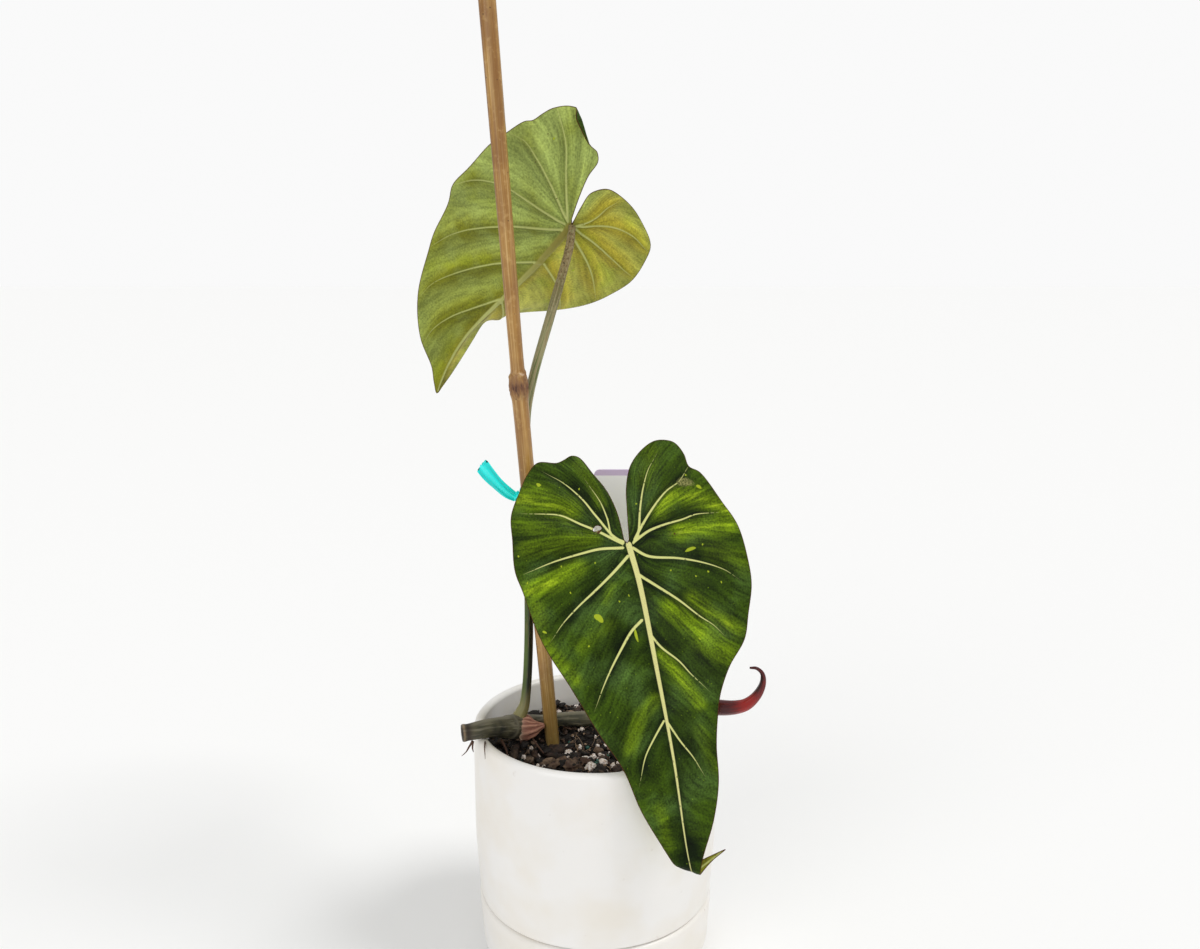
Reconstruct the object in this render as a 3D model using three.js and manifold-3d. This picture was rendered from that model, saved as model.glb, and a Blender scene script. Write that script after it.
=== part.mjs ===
// Potted variegated philodendron glorimax.
// Millimetres, +Z up, origin in the middle of the saucer's underside,
// +X to the plant's right and -Y towards its front.

import * as THREE from 'three';
import { mergeVertices } from 'three/addons/utils/BufferGeometryUtils.js';
import loadManifold from 'manifold-3d';

// Driving dimensions
const GAP = 0.3;
const POT_R = 63.5;
const POT_TOP = 128;
const POT_WALL = 5;
const POT_SEAM_R = 61.4;
const POT_STRAIGHT_FROM = 78;
const POT_FOOT_R = 56;
const POT_FLOOR = 6;
const DRAIN_R = 6;
const ROUND_STEPS = 48;

const SAUCER_H = 35;
const SAUCER_R = 62;
const SAUCER_BASE_R = 60.6;
const SAUCER_CORNER = 11;
const SAUCER_WALL = 5;
const SAUCER_FLOOR = 5;

const SOIL_LEVEL = 111;
const SOIL_CHUNKS = 34;
const SOIL_SEED = 20417;

const CANE_LENGTH = 500;
const CANE_FOOT_Z = 24;
const LABEL_WIDTH = 25;
const LABEL_TOP = 256;
const LABEL_LENGTH = 190;
const LABEL_POINT = 22;
const LABEL_CORNER = 3;
const LABEL_THICK = 0.8;
const LABEL_PLACE = [11.8, 24];

const BLADE_THICK = 0.75;
const BLADE_RAYS = 72;
const BLADE_RINGS = 6;

const SHORTEST_EDGE = 0.02;

const v3 = (x, y, z) => new THREE.Vector3(x, y, z);
const radians = THREE.MathUtils.degToRad;

// Solids: closed triangle meshes, joined and cut where pieces meet
const wasm = await loadManifold();
wasm.setup();

function toSolid(geometry) {
  const bare = new THREE.BufferGeometry();
  bare.setAttribute('position', geometry.getAttribute('position'));
  bare.setIndex(geometry.getIndex());
  const merged = mergeVertices(bare, 1e-4);
  return new wasm.Manifold(new wasm.Mesh({
    numProp: 3,
    vertProperties: new Float32Array(merged.getAttribute('position').array),
    triVerts: new Uint32Array(merged.getIndex().array),
  }));
}

// Back to a geometry, with the tiny edges that a cut leaves closed up
function toGeometry(solid) {
  const mesh = solid.getMesh();
  const geometry = new THREE.BufferGeometry();
  geometry.setAttribute('position', new THREE.BufferAttribute(mesh.vertProperties, 3));
  geometry.setIndex(new THREE.BufferAttribute(mesh.triVerts, 1));
  const welded = mergeVertices(geometry, SHORTEST_EDGE);
  const corners = Array.from(welded.getIndex().array);
  const kept = [];
  for (let i = 0; i < corners.length; i += 3) {
    const [a, b, c] = corners.slice(i, i + 3);
    if (a !== b && b !== c && c !== a) kept.push(a, b, c);
  }
  welded.setIndex(kept);
  welded.computeVertexNormals();
  return welded;
}

function indexedGeometry(points, triangles) {
  const geometry = new THREE.BufferGeometry().setFromPoints(points);
  geometry.setIndex(triangles);
  geometry.computeVertexNormals();
  return geometry;
}

// A turned ceramic wall: the profile's [radius, height] pairs spun about Z
function turned(profile) {
  const points = profile.map(([r, z]) => new THREE.Vector2(r, z));
  return new THREE.LatheGeometry(points, ROUND_STEPS).rotateX(Math.PI / 2);
}

// A run of profile points on a quarter or half round
function arcPoints(cx, cz, r, fromDeg, toDeg, steps) {
  return Array.from({ length: steps + 1 }, (_, i) => {
    const a = radians(fromDeg + (toDeg - fromDeg) * i / steps);
    return [cx + r * Math.cos(a), cz + r * Math.sin(a)];
  });
}

// A stem: rows of [x, y, z, radius] along a smooth curve, with flat ends
function stem(rows, { sides = 10, stepsPerRow = 2, extra = 0 } = {}) {
  const curve = new THREE.CatmullRomCurve3(rows.map(([x, y, z]) => v3(x, y, z)), false, 'centripetal');
  const steps = (rows.length - 1) * stepsPerRow;
  const points = [];
  const triangles = [];
  let tangent = curve.getTangent(0);
  const normal = v3(0, 0, 1).cross(tangent);
  if (normal.length() < 0.3) normal.copy(v3(1, 0, 0).cross(tangent));
  normal.normalize();
  for (let i = 0; i <= steps; i++) {
    const t = i / steps;
    const place = curve.getPoint(t);
    const next = curve.getTangent(t);
    normal.applyQuaternion(new THREE.Quaternion().setFromUnitVectors(tangent, next));
    tangent = next;
    const side = tangent.clone().cross(normal);
    const at = Math.min(t * (rows.length - 1), rows.length - 1.0001);
    const row = Math.floor(at);
    const radius = THREE.MathUtils.lerp(rows[row][3], rows[row + 1][3], at - row) + extra;
    for (let k = 0; k < sides; k++) {
      const a = 2 * Math.PI * k / sides;
      points.push(place.clone()
        .addScaledVector(normal, radius * Math.cos(a))
        .addScaledVector(side, radius * Math.sin(a)));
    }
  }
  for (let i = 0; i < steps; i++) {
    for (let k = 0; k < sides; k++) {
      const a = i * sides + k;
      const b = i * sides + (k + 1) % sides;
      triangles.push(a, b, b + sides, a, b + sides, a + sides);
    }
  }
  const start = points.push(curve.getPoint(0)) - 1;
  const end = points.push(curve.getPoint(1)) - 1;
  for (let k = 0; k < sides; k++) {
    const next = (k + 1) % sides;
    triangles.push(start, next, k, end, steps * sides + k, steps * sides + next);
  }
  return indexedGeometry(points, triangles);
}

const joined = (solids) => solids.reduce((sum, solid) => sum.add(solid));

// Pot: a straight cylinder that draws in a little towards the saucer, with a foot that stands in it
const FOOT_Z = SAUCER_FLOOR + GAP;
const SEAM_Z = SAUCER_H + 2 * GAP;
const POT_IN_R = POT_R - POT_WALL;
const FLOOR_TOP = FOOT_Z + POT_FLOOR;

function potGeometry() {
  const lip = POT_WALL / 2;
  const outer = [0, 0.25, 0.5, 0.75, 1].map((t) => [
    POT_SEAM_R + (POT_R - POT_SEAM_R) * Math.sin(t * Math.PI / 2),
    SEAM_Z + (POT_STRAIGHT_FROM - SEAM_Z) * t,
  ]);
  const profile = [
    [DRAIN_R, FOOT_Z],
    ...arcPoints(POT_FOOT_R - 2, FOOT_Z + 2, 2, -90, 0, 3),
    [POT_FOOT_R, SEAM_Z],
    ...outer,
    ...arcPoints(POT_R - lip, POT_TOP - lip, lip, 0, 180, 6),
    [POT_IN_R, SEAM_Z + POT_WALL],
    [POT_FOOT_R - POT_WALL, SEAM_Z - POT_WALL],
    [POT_FOOT_R - POT_WALL, FLOOR_TOP],
    [DRAIN_R, FLOOR_TOP],
    [DRAIN_R, FOOT_Z],
  ];
  return turned(profile);
}

// Saucer: a cup as wide as the pot, rounded into its flat base
function saucerGeometry() {
  const lip = SAUCER_WALL / 2;
  const baseR = SAUCER_BASE_R - SAUCER_CORNER;
  return turned([
    [0, 0],
    ...arcPoints(baseR, SAUCER_CORNER, SAUCER_CORNER, -90, 0, 5),
    ...arcPoints(SAUCER_R - lip, SAUCER_H - lip, lip, 0, 180, 6),
    ...arcPoints(SAUCER_R - SAUCER_WALL - 2, SAUCER_FLOOR + 2, 2, 0, -90, 2),
    [0, SAUCER_FLOOR],
  ]);
}

// Rhizome: rows of [x, y, z, radius] from the old cut end to the growing end
const RHIZOME = [
  [-66, -28.6, 132.9, 4.0],
  [-60.5, -26.8, 133.0, 4.3],
  [-54, -22, 132.4, 4.6],
  [-46.5, -12, 128.3, 5.4],
  [-40.5, -3, 124.6, 6.5],
  [-36.5, 2.5, 123.2, 5.2],
  [-30, 7, 122.3, 3.7],
  [-18, 11.5, 121.6, 3.8],
  [-5, 13.2, 121.4, 4.2],
  [8, 14, 122.3, 4.6],
  [15, 14, 123, 5.3],
  [22, 13.5, 123.8, 4.6],
  [36, 11, 127, 4.3],
  [47, 7.2, 130.8, 4.2],
  [55, 3.8, 132.6, 3.6],
];
const ROOTS = [
  [[-39, -6.5, 122, 1.1], [-37.8, -9.8, 117.5, 0.9], [-37.2, -12, 110, 0.7], [-33, -15, 104, 0.6]],
  [[-42, 0, 121, 1.4], [-44.5, 2.5, 114, 1.2], [-45, 4, 104, 0.9], [-43, 7, 92, 0.7]],
  [[-9, 14.5, 119.5, 1.3], [-10, 17, 113, 1.1], [-12, 18, 100, 0.9], [-9, 20, 88, 0.7]],
  [[14, 16, 121, 1.5], [12, 19.5, 114.5, 1.2], [12.5, 20, 103, 1.0], [9, 17, 90, 0.8]],
  [[34, 12.5, 125, 1.3], [33, 15.5, 117.5, 1.1], [35, 17, 107, 0.9], [33, 21, 94, 0.7]],
];

const rhizomeSolid = (extra) => joined([
  toSolid(stem(RHIZOME, { sides: 12, extra })),
  ...ROOTS.map((root) => toSolid(stem(root, { sides: 6, stepsPerRow: 1, extra }))),
]);

// Cataphyll: the red sheath of the new growth, out over the rim and hooked back at its tip
const CATAPHYLL = [
  [50, 6, 131.6, 4.6],
  [57, 2.9, 133.0, 4.4],
  [64.7, 0, 133.6, 4.1],
  [72, -0.6, 133.9, 3.7],
  [78.6, -0.4, 135.4, 3.2],
  [84, -0.2, 140, 2.5],
  [87.2, 0, 146.6, 1.8],
  [87, 0, 152.2, 1.2],
  [84, 0, 155.3, 0.9],
  [80.2, 0, 155.6, 0.5],
];

// Node sheath: a torn papery cone beside the node, its wide end ragged
const SHEATH = [
  [-39.6, -4.6, 124.2, 5.9],
  [-35.6, -4.4, 124.2, 6.1],
  [-32.4, -4, 124.2, 4.6],
  [-29.6, -3.2, 124.4, 2.6],
  [-26.8, -2.2, 124.6, 1.1],
];

// Leaf stalks: rows of [x, y, z, radius] from the rhizome up to the blade
const PETIOLE_UPPER = [
  [-41, -3, 125, 4.4],
  [-39.6, -3, 130.4, 3.6],
  [-37.3, -2.4, 135.5, 2.8],
  [-36, -0.6, 144, 2.4],
  [-35.1, 2.5, 159.5, 2.3],
  [-34.6, 6, 182, 2.3],
  [-34.7, 8, 220, 2.3],
  [-35.1, 8.4, 247, 2.3],
  [-35.2, 9.6, 273, 2.3],
  [-34.5, 10.8, 289, 2.3],
  [-30.9, 12.4, 306.5, 2.25],
  [-22.7, 16, 333.7, 2.3],
  [-16.6, 18, 353.4, 2.2],
  [-12.3, 18.7, 366, 2.05],
  [-11.4, 19.8, 375.5, 2.1],
];
const PETIOLE_FRONT = [
  [15, 13.6, 126, 3.6],
  [15, 14.6, 133, 2.9],
  [15.2, 15, 148, 2.4],
  [15.4, 13, 172, 2.2],
  [15.5, 5.5, 198, 2.2],
  [15.6, -6, 216, 2.1],
  [15.8, -16, 224.6, 2.1],
];

// Front blade: [along, across] from the junction, along to the tip and across to the right
const FRONT_OUTLINE = [
  [-1.5, 1.2], [-16.3, 3], [-26.7, 4.6], [-37.1, 8.6], [-43.9, 15.4], [-47.1, 22.5], [-46.3, 28.2],
  [-43.8, 32.2], [-37.4, 35.3], [-31, 36.4], [-27, 41], [-10.3, 48.6], [1.5, 53], [17.3, 54.2],
  [30.6, 53.7], [43.6, 49.6], [55, 45.3], [65.8, 36.1], [77.2, 29.6], [88.1, 26.1], [100.4, 23.2],
  [116.5, 21], [132.9, 15.6], [149.3, 7.4], [158, 4], [168, 1.6], [177, 0.4],
  [169, -0.9], [159, -2.8], [148.9, -6.6], [139.4, -10.5], [122.7, -16.8], [103, -21.5], [86, -29.2],
  [69.1, -35.9], [60.2, -39.4], [43.1, -46.7], [30.7, -50.2], [15.2, -52.8], [4.8, -54.8], [-10, -53.6],
  [-22.1, -52.4], [-34.1, -46.1], [-41, -41.6], [-46.2, -35.6], [-44.7, -26.3], [-45.7, -22.7],
  [-47.2, -18.9], [-45.8, -15.2], [-36.5, -9.9], [-26.9, -4.8], [-15.2, -1.8], [-1.5, -1.0],
];
const FRONT_JUNCTION = v3(15.4, -25, 229.2);
const FRONT_LEAN = radians(22);
const FRONT_TURN = radians(10.5);
const FRONT_MIDRIB = 2;
const FRONT_VEE = { slope: 0.16, softness: 5 };
const FRONT_ARCH = { rise: 0.54, drop: 0.0006, crest: 30 };
const FRONT_DROOP = { drop: 0.0012, from: 30 };
const FRONT_WAVE = { height: 0.0005, length: 9, shift: 2 };
const TIP_FOLD = { along: 151.5, across: 0, slant: radians(56), radius: 3, turn: radians(158) };

const frontDown = v3(0, -Math.sin(FRONT_LEAN), -Math.cos(FRONT_LEAN));
const frontAlong = v3(Math.sin(FRONT_TURN), 0, 0).addScaledVector(frontDown, Math.cos(FRONT_TURN));
const frontAcross = v3(Math.cos(FRONT_TURN), 0, 0).addScaledVector(frontDown, -Math.sin(FRONT_TURN));
const frontFace = frontAlong.clone().cross(frontAcross);

// The tip is rolled under about a slanting line: returns the new [along, across, back]
function rollTip(s, w) {
  const { along, across, slant, radius, turn } = TIP_FOLD;
  const ds = s - along;
  const dw = w - across;
  const past = ds * Math.sin(slant) - dw * Math.cos(slant);
  if (past <= 0) return [s, w, 0];
  const onLine = ds * Math.cos(slant) + dw * Math.sin(slant);
  const bent = Math.min(past / radius, turn);
  const rest = past - bent * radius;
  const reach = radius * Math.sin(bent) + rest * Math.cos(bent);
  const back = radius * (1 - Math.cos(bent)) + rest * Math.sin(bent);
  return [
    along + onLine * Math.cos(slant) + reach * Math.sin(slant),
    across + onLine * Math.sin(slant) - reach * Math.cos(slant),
    back,
  ];
}

// The two halves rise from the midrib, the lobes and the tip fall back, the margin is waved
function frontPlace(s0, w0) {
  const [s, w, back] = rollTip(s0, w0);
  const vee = FRONT_VEE.slope * (Math.hypot(w - FRONT_MIDRIB, FRONT_VEE.softness) - FRONT_VEE.softness);
  const arch = FRONT_ARCH.rise - FRONT_ARCH.drop * (s - FRONT_ARCH.crest) ** 2;
  const edge = FRONT_DROOP.drop * Math.max(Math.abs(w) - FRONT_DROOP.from, 0) ** 2;
  const wave = FRONT_WAVE.height * w * w * Math.sin(s / FRONT_WAVE.length + (w > 0 ? 0 : FRONT_WAVE.shift));
  return FRONT_JUNCTION.clone()
    .addScaledVector(frontAlong, s)
    .addScaledVector(frontAcross, w)
    .addScaledVector(frontFace, vee + arch - edge + wave - back);
}

// Upper blade: [along, across], across to the photo's left, which faces the front
const UPPER_OUTLINE = [
  [-2, 1.6], [-13, 5.3], [-25, 8.4], [-33, 9], [-36, 12], [-36.5, 18.5], [-39, 26.5], [-43, 32],
  [-43.5, 36], [-38, 41.7], [-33.5, 43.8], [-28, 45.7], [-25, 48.5], [-14, 52.4], [-1, 56], [21, 57.8],
  [39.5, 59], [52, 55.7], [75, 51.5], [88, 46], [110, 36], [128, 22.6], [140, 9], [149, 4],
  [155, 0.3], [150, -3], [142, -8], [130, -14], [118, -18.5], [104, -23], [90, -28], [77, -34],
  [67, -40], [57, -46], [45, -52], [27, -57], [7, -55], [-5, -52], [-14, -45], [-24, -31],
  [-27, -14.5], [-25.5, -3], [-19.3, 2.4], [-10.8, 2], [-2.5, 0.5],
];
const UPPER_RIB = [v3(17, 14, 414), v3(-20, 6, 369), v3(-35, 65, 349), v3(-80, 91, 334), v3(-96, 113, 284)];
const UPPER_RIB_SPAN = [-45, 156];
const UPPER_FOLD = [
  [-45, 58], [-20, 50], [0, 45], [40, 45], [58, 46], [75, 53], [90, 66], [108, 86], [122, 80], [155, 58],
];
const FOLD_SOFTNESS = 4;
const UPPER_WAVE = { height: 0.0004, length: 10, shift: 1, foldedShift: 3 };

// Bezier point by repeated halving between the control points
function bezier(points, t) {
  let level = points.map((p) => p.clone());
  while (level.length > 1) {
    level = level.slice(1).map((p, i) => level[i].clone().lerp(p, t));
  }
  return level[0];
}

// A value that runs smoothly through [position, value] knots
function through(knots, x) {
  const last = knots.length - 1;
  const slope = (i) => {
    const [a, b] = [knots[Math.max(i - 1, 0)], knots[Math.min(i + 1, last)]];
    return (b[1] - a[1]) / (b[0] - a[0]);
  };
  const i = THREE.MathUtils.clamp(knots.findIndex(([at]) => at > x) - 1, 0, last - 1);
  const span = knots[i + 1][0] - knots[i][0];
  const t = THREE.MathUtils.clamp((x - knots[i][0]) / span, 0, 1);
  const rise = knots[i + 1][1] - knots[i][1];
  const [m0, m1] = [slope(i) * span, slope(i + 1) * span];
  return knots[i][1] + m0 * t + (3 * rise - 2 * m0 - m1) * t ** 2 + (m0 + m1 - 2 * rise) * t ** 3;
}

// The half across > 0 lies open to the front; the other is folded back about the midrib
function upperPlace(s, w) {
  const [from, to] = UPPER_RIB_SPAN;
  const t = (s - from) / (to - from);
  const rib = bezier(UPPER_RIB, t);
  const along = bezier(UPPER_RIB, t + 0.002).sub(bezier(UPPER_RIB, t - 0.002)).normalize();
  const across = v3(along.z, 0, -along.x).normalize();
  const face = along.clone().cross(across);
  const fold = radians(through(UPPER_FOLD, s));
  const folded = (Math.hypot(w, FOLD_SOFTNESS) - w) / 2;
  const shift = w > 0 ? UPPER_WAVE.shift : UPPER_WAVE.foldedShift;
  const wave = UPPER_WAVE.height * w * w * Math.sin(s / UPPER_WAVE.length + shift);
  return rib
    .addScaledVector(across, w + (1 - Math.cos(fold)) * folded)
    .addScaledVector(face, Math.sin(fold) * folded + wave);
}

// The upper side's direction at a place on a blade
function bladeNormal(place, s, w) {
  const step = BLADE_THICK / 2;
  const along = place(s + step, w).sub(place(s - step, w));
  return along.cross(place(s, w + step).sub(place(s, w - step))).normalize();
}

// The last two rows of a leaf stalk: it meets the blade's underside flat, just past the sinus
const STALK_MEETS = [2.4, 1];
const STALK_OFF = [3.2, BLADE_THICK / 2 + 1.4 * GAP];

function stalkEnd(place, radius) {
  const [s, w] = STALK_MEETS;
  const normal = bladeNormal(place, s, w);
  return STALK_OFF.map((off) => {
    const { x, y, z } = place(s, w).addScaledVector(normal, -off);
    return [x, y, z, radius];
  });
}

// A blade: rays from the junction to the outline, both faces split alike
function blade(outline, place) {
  const margin = new THREE.CatmullRomCurve3(outline.map(([s, w]) => v3(s, w, 0)), false, 'centripetal')
    .getSpacedPoints(BLADE_RAYS);
  const faces = [[], []];
  const addPoint = (s, w) => {
    const middle = place(s, w);
    const normal = bladeNormal(place, s, w);
    faces[0].push(middle.clone().addScaledVector(normal, BLADE_THICK / 2));
    faces[1].push(middle.addScaledVector(normal, -BLADE_THICK / 2));
  };
  addPoint(0, 0);
  for (const end of margin) {
    for (let j = 1; j <= BLADE_RINGS; j++) {
      addPoint(end.x * j / BLADE_RINGS, end.y * j / BLADE_RINGS);
    }
  }
  const at = (i, j) => (j === 0 ? 0 : 1 + i * BLADE_RINGS + j - 1);
  const under = faces[0].length;
  const triangles = [];
  const bothFaces = (a, b, c) => triangles.push(a, b, c, a + under, c + under, b + under);
  for (let i = 0; i < BLADE_RAYS; i++) {
    bothFaces(0, at(i + 1, 1), at(i, 1));
    for (let j = 1; j < BLADE_RINGS; j++) {
      bothFaces(at(i, j), at(i + 1, j), at(i + 1, j + 1));
      bothFaces(at(i, j), at(i + 1, j + 1), at(i, j + 1));
    }
  }
  const rim = [0];
  for (let j = 1; j < BLADE_RINGS; j++) rim.push(at(0, j));
  for (let i = 0; i <= BLADE_RAYS; i++) rim.push(at(i, BLADE_RINGS));
  for (let j = BLADE_RINGS - 1; j > 0; j--) rim.push(at(BLADE_RAYS, j));
  rim.forEach((a, i) => {
    const b = rim[(i + 1) % rim.length];
    triangles.push(a, b, b + under, a, b + under, a + under);
  });
  return indexedGeometry([...faces[0], ...faces[1]], triangles);
}

// Cane: bamboo with one node, its thin end down, leaning a little to the left
const CANE_AXIS = [[-22.5, 1.5, 110], [-37.6, 1.5, 301.6], [-49.5, 1.5, 479.7]];
const CANE_PROFILE = [
  [CANE_FOOT_Z, 2.9], [CANE_FOOT_Z + 2, 3.5], [110, 3.65], [200, 3.8], [285, 3.95], [295, 4.1],
  [299, 4.8], [303, 4.9], [307, 4.5], [309, 3.5], [316, 3.4], [400, 3.8], [480, 4.15],
  [CANE_FOOT_Z + CANE_LENGTH, 4.3],
];

function caneRows() {
  const [foot, node, top] = CANE_AXIS;
  return CANE_PROFILE.map(([z, r]) => {
    const [a, b] = z < node[2] ? [foot, node] : [node, top];
    const t = (z - a[2]) / (b[2] - a[2]);
    return [a[0] + (b[0] - a[0]) * t, a[1] + (b[1] - a[1]) * t, z, r];
  });
}

// Tie: a tape loop drawn round the cane and the upper leaf stalk, a knot and a loose tail
const TIE_Z = 247;
const TIE_HEIGHT = 5;
const TIE_THICK = 0.8;
const TIE_KNOT = v3(-38.9, -0.6, 246.6);
const TIE_KNOT_SIZE = [1.7, 2.3, 2.6];
const TIED_CANE_R = 3.9;
const TIED_STALK = [-35.1, 8.4, 2.35];
const TIE_TAIL = [
  [-39.6, -1, 246.8, 4.2],
  [-43.5, -2.4, 249.8, 4.4],
  [-48.5, -3.6, 254.6, 5.0],
  [-53, -4, 259.8, 5.6],
  [-57, -3.8, 265.2, 5.8],
];

// The loop's outline: the hull of the two round stems, stood off by a distance
function hullOutline(circles, off) {
  const steps = 32;
  return Array.from({ length: steps }, (_, i) => {
    const a = 2 * Math.PI * i / steps;
    const reach = circles.map(([x, y, r]) => x * Math.cos(a) + y * Math.sin(a) + r);
    const [x, y, r] = circles[reach.indexOf(Math.max(...reach))];
    return new THREE.Vector2(x + (r + off) * Math.cos(a), y + (r + off) * Math.sin(a));
  });
}

// A flat tape: rows of [x, y, z, width], its flat side to the front
function tape(rows) {
  const points = [];
  const triangles = [];
  rows.forEach(([x, y, z, width], i) => {
    const [before, after] = [rows[Math.max(i - 1, 0)], rows[Math.min(i + 1, rows.length - 1)]];
    const along = v3(after[0] - before[0], after[1] - before[1], after[2] - before[2]).normalize();
    const flat = v3(0, -1, 0).cross(along).normalize();
    const face = along.clone().cross(flat);
    for (const [u, v] of [[-1, -1], [1, -1], [1, 1], [-1, 1]]) {
      points.push(v3(x, y, z).addScaledVector(flat, u * width / 2).addScaledVector(face, v * TIE_THICK / 2));
    }
  });
  const last = (rows.length - 1) * 4;
  for (let i = 0; i < last; i += 4) {
    for (let k = 0; k < 4; k++) {
      const [a, b] = [i + k, i + (k + 1) % 4];
      triangles.push(a, b, b + 4, a, b + 4, a + 4);
    }
  }
  triangles.push(0, 2, 1, 0, 3, 2, last, last + 1, last + 2, last, last + 2, last + 3);
  return indexedGeometry(points, triangles);
}

function tieGeometry() {
  const [foot, node] = CANE_AXIS;
  const caneX = THREE.MathUtils.mapLinear(TIE_Z, foot[2], node[2], foot[0], node[0]);
  const stems = [[caneX, foot[1], TIED_CANE_R], TIED_STALK];
  const inside = hullOutline(stems, GAP);
  const outside = hullOutline(stems, GAP + TIE_THICK);
  const shape = new THREE.Shape(outside);
  shape.holes.push(new THREE.Path(inside));
  const loop = new THREE.ExtrudeGeometry(shape, { depth: TIE_HEIGHT, bevelEnabled: false })
    .translate(0, 0, TIE_Z - TIE_HEIGHT / 2);
  const knot = new THREE.IcosahedronGeometry(1, 1)
    .scale(...TIE_KNOT_SIZE)
    .translate(TIE_KNOT.x, TIE_KNOT.y, TIE_KNOT.z);
  const depth = 3 * TIE_HEIGHT;
  const room = new THREE.ExtrudeGeometry(new THREE.Shape(inside), { depth, bevelEnabled: false })
    .translate(0, 0, TIE_Z - depth / 2);
  const body = joined([loop, knot, tape(TIE_TAIL)].map(toSolid));
  return toGeometry(body.subtract(toSolid(room)));
}

// Label: a flat plastic stake, round corners at its top and a point in the soil
function labelGeometry(grow = 0) {
  const half = LABEL_WIDTH / 2 + grow;
  const top = LABEL_TOP + grow;
  const bottom = LABEL_TOP - LABEL_LENGTH - grow;
  const shoulder = bottom + LABEL_POINT;
  const corner = LABEL_CORNER;
  const corners = [
    ...arcPoints(half - corner, top - corner, corner, 0, 90, 4),
    ...arcPoints(corner - half, top - corner, corner, 90, 180, 4),
  ];
  const shape = new THREE.Shape([
    new THREE.Vector2(0, bottom),
    new THREE.Vector2(half, shoulder),
    ...corners.map(([x, z]) => new THREE.Vector2(x, z)),
    new THREE.Vector2(-half, shoulder),
  ]);
  const thick = LABEL_THICK + 2 * grow;
  const [x, y] = LABEL_PLACE;
  return new THREE.ExtrudeGeometry(shape, { depth: thick, bevelEnabled: false })
    .rotateX(Math.PI / 2)
    .translate(x, y + thick / 2, 0);
}

// Soil: a plug that fills the pot, heaped under the rhizome, with coarse chunks on its top
function seededRandom(seed) {
  let state = seed;
  return () => {
    state = (state * 16807) % 2147483647;
    return state / 2147483647;
  };
}

// The mound runs under the rhizome and levels out before the pot's wall
const MOUND = { rise: 7.5, spread: 8, levelFrom: 38, levelAt: 54 };
const MOUND_RIDGE = { leftX: -42, leftY: -3, backX: -12, backY: 14 };

// Ripples of the soil's top: [height, length along x, length along y]
const SOIL_RIPPLES = [[0.9, 4.1, 7.3], [0.8, -9.1, 3.7], [0.4, 2.3, 50]];

function soilTop(x, y) {
  const { lerp, smoothstep } = THREE.MathUtils;
  const { leftX, leftY, backX, backY } = MOUND_RIDGE;
  const ridgeY = lerp(leftY, backY, smoothstep(x, leftX, backX));
  const inside = 1 - smoothstep(Math.abs(x), MOUND.levelFrom, MOUND.levelAt);
  const mound = MOUND.rise * inside * Math.exp(-0.5 * ((y - ridgeY) / MOUND.spread) ** 2);
  const rough = SOIL_RIPPLES.reduce((sum, [h, lx, ly]) => sum + h * Math.sin(x / lx + y / ly), 0);
  return SOIL_LEVEL + mound + rough;
}

function soilPlug() {
  const outer = POT_IN_R - GAP;
  const rings = 8;
  const around = 40;
  const points = [v3(0, 0, soilTop(0, 0))];
  for (let j = 1; j <= rings; j++) {
    for (let k = 0; k < around; k++) {
      const a = 2 * Math.PI * k / around;
      const [x, y] = [outer * j / rings * Math.cos(a), outer * j / rings * Math.sin(a)];
      points.push(v3(x, y, soilTop(x, y)));
    }
  }
  const footInside = POT_FOOT_R - POT_WALL - GAP;
  const lower = [
    [outer, SEAM_Z + POT_WALL + 1],
    [footInside, SEAM_Z - POT_WALL],
    [footInside, FLOOR_TOP + GAP],
  ];
  for (const [r, z] of lower) {
    for (let k = 0; k < around; k++) {
      const a = 2 * Math.PI * k / around;
      points.push(v3(r * Math.cos(a), r * Math.sin(a), z));
    }
  }
  const base = points.push(v3(0, 0, FLOOR_TOP + GAP)) - 1;
  const triangles = [];
  for (let k = 0; k < around; k++) {
    const next = (k + 1) % around;
    triangles.push(0, 1 + k, 1 + next);
    for (let j = 0; j < rings + lower.length - 1; j++) {
      const [a, b] = [1 + j * around + k, 1 + j * around + next];
      triangles.push(a, a + around, b + around, a, b + around, b);
    }
    triangles.push(base, base - around + next, base - around + k);
  }
  return toSolid(indexedGeometry(points, triangles));
}

const CHUNK_RADIUS = [2.2, 5.4];
const CHUNK_WIDEST = 1.35;

function soilChunk(random) {
  const size = THREE.MathUtils.lerp(...CHUNK_RADIUS, random() ** 2);
  const reach = Math.sqrt(random()) * (POT_IN_R - 1 - GAP - CHUNK_WIDEST * size);
  const turn = 2 * Math.PI * random();
  const [x, y] = [reach * Math.cos(turn), reach * Math.sin(turn)];
  const geometry = new THREE.IcosahedronGeometry(size, 0)
    .scale(0.8 + 0.5 * random(), 0.8 + 0.5 * random(), 0.7 + 0.3 * random());
  return toSolid(geometry
    .rotateX(3 * random())
    .rotateZ(6 * random())
    .translate(x, y, soilTop(x, y) + 0.1 * size));
}

function soilGeometry(standing) {
  const random = seededRandom(SOIL_SEED);
  const chunks = Array.from({ length: SOIL_CHUNKS }, () => soilChunk(random));
  return toGeometry(joined([soilPlug(), ...chunks]).subtract(joined(standing)));
}

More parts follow.
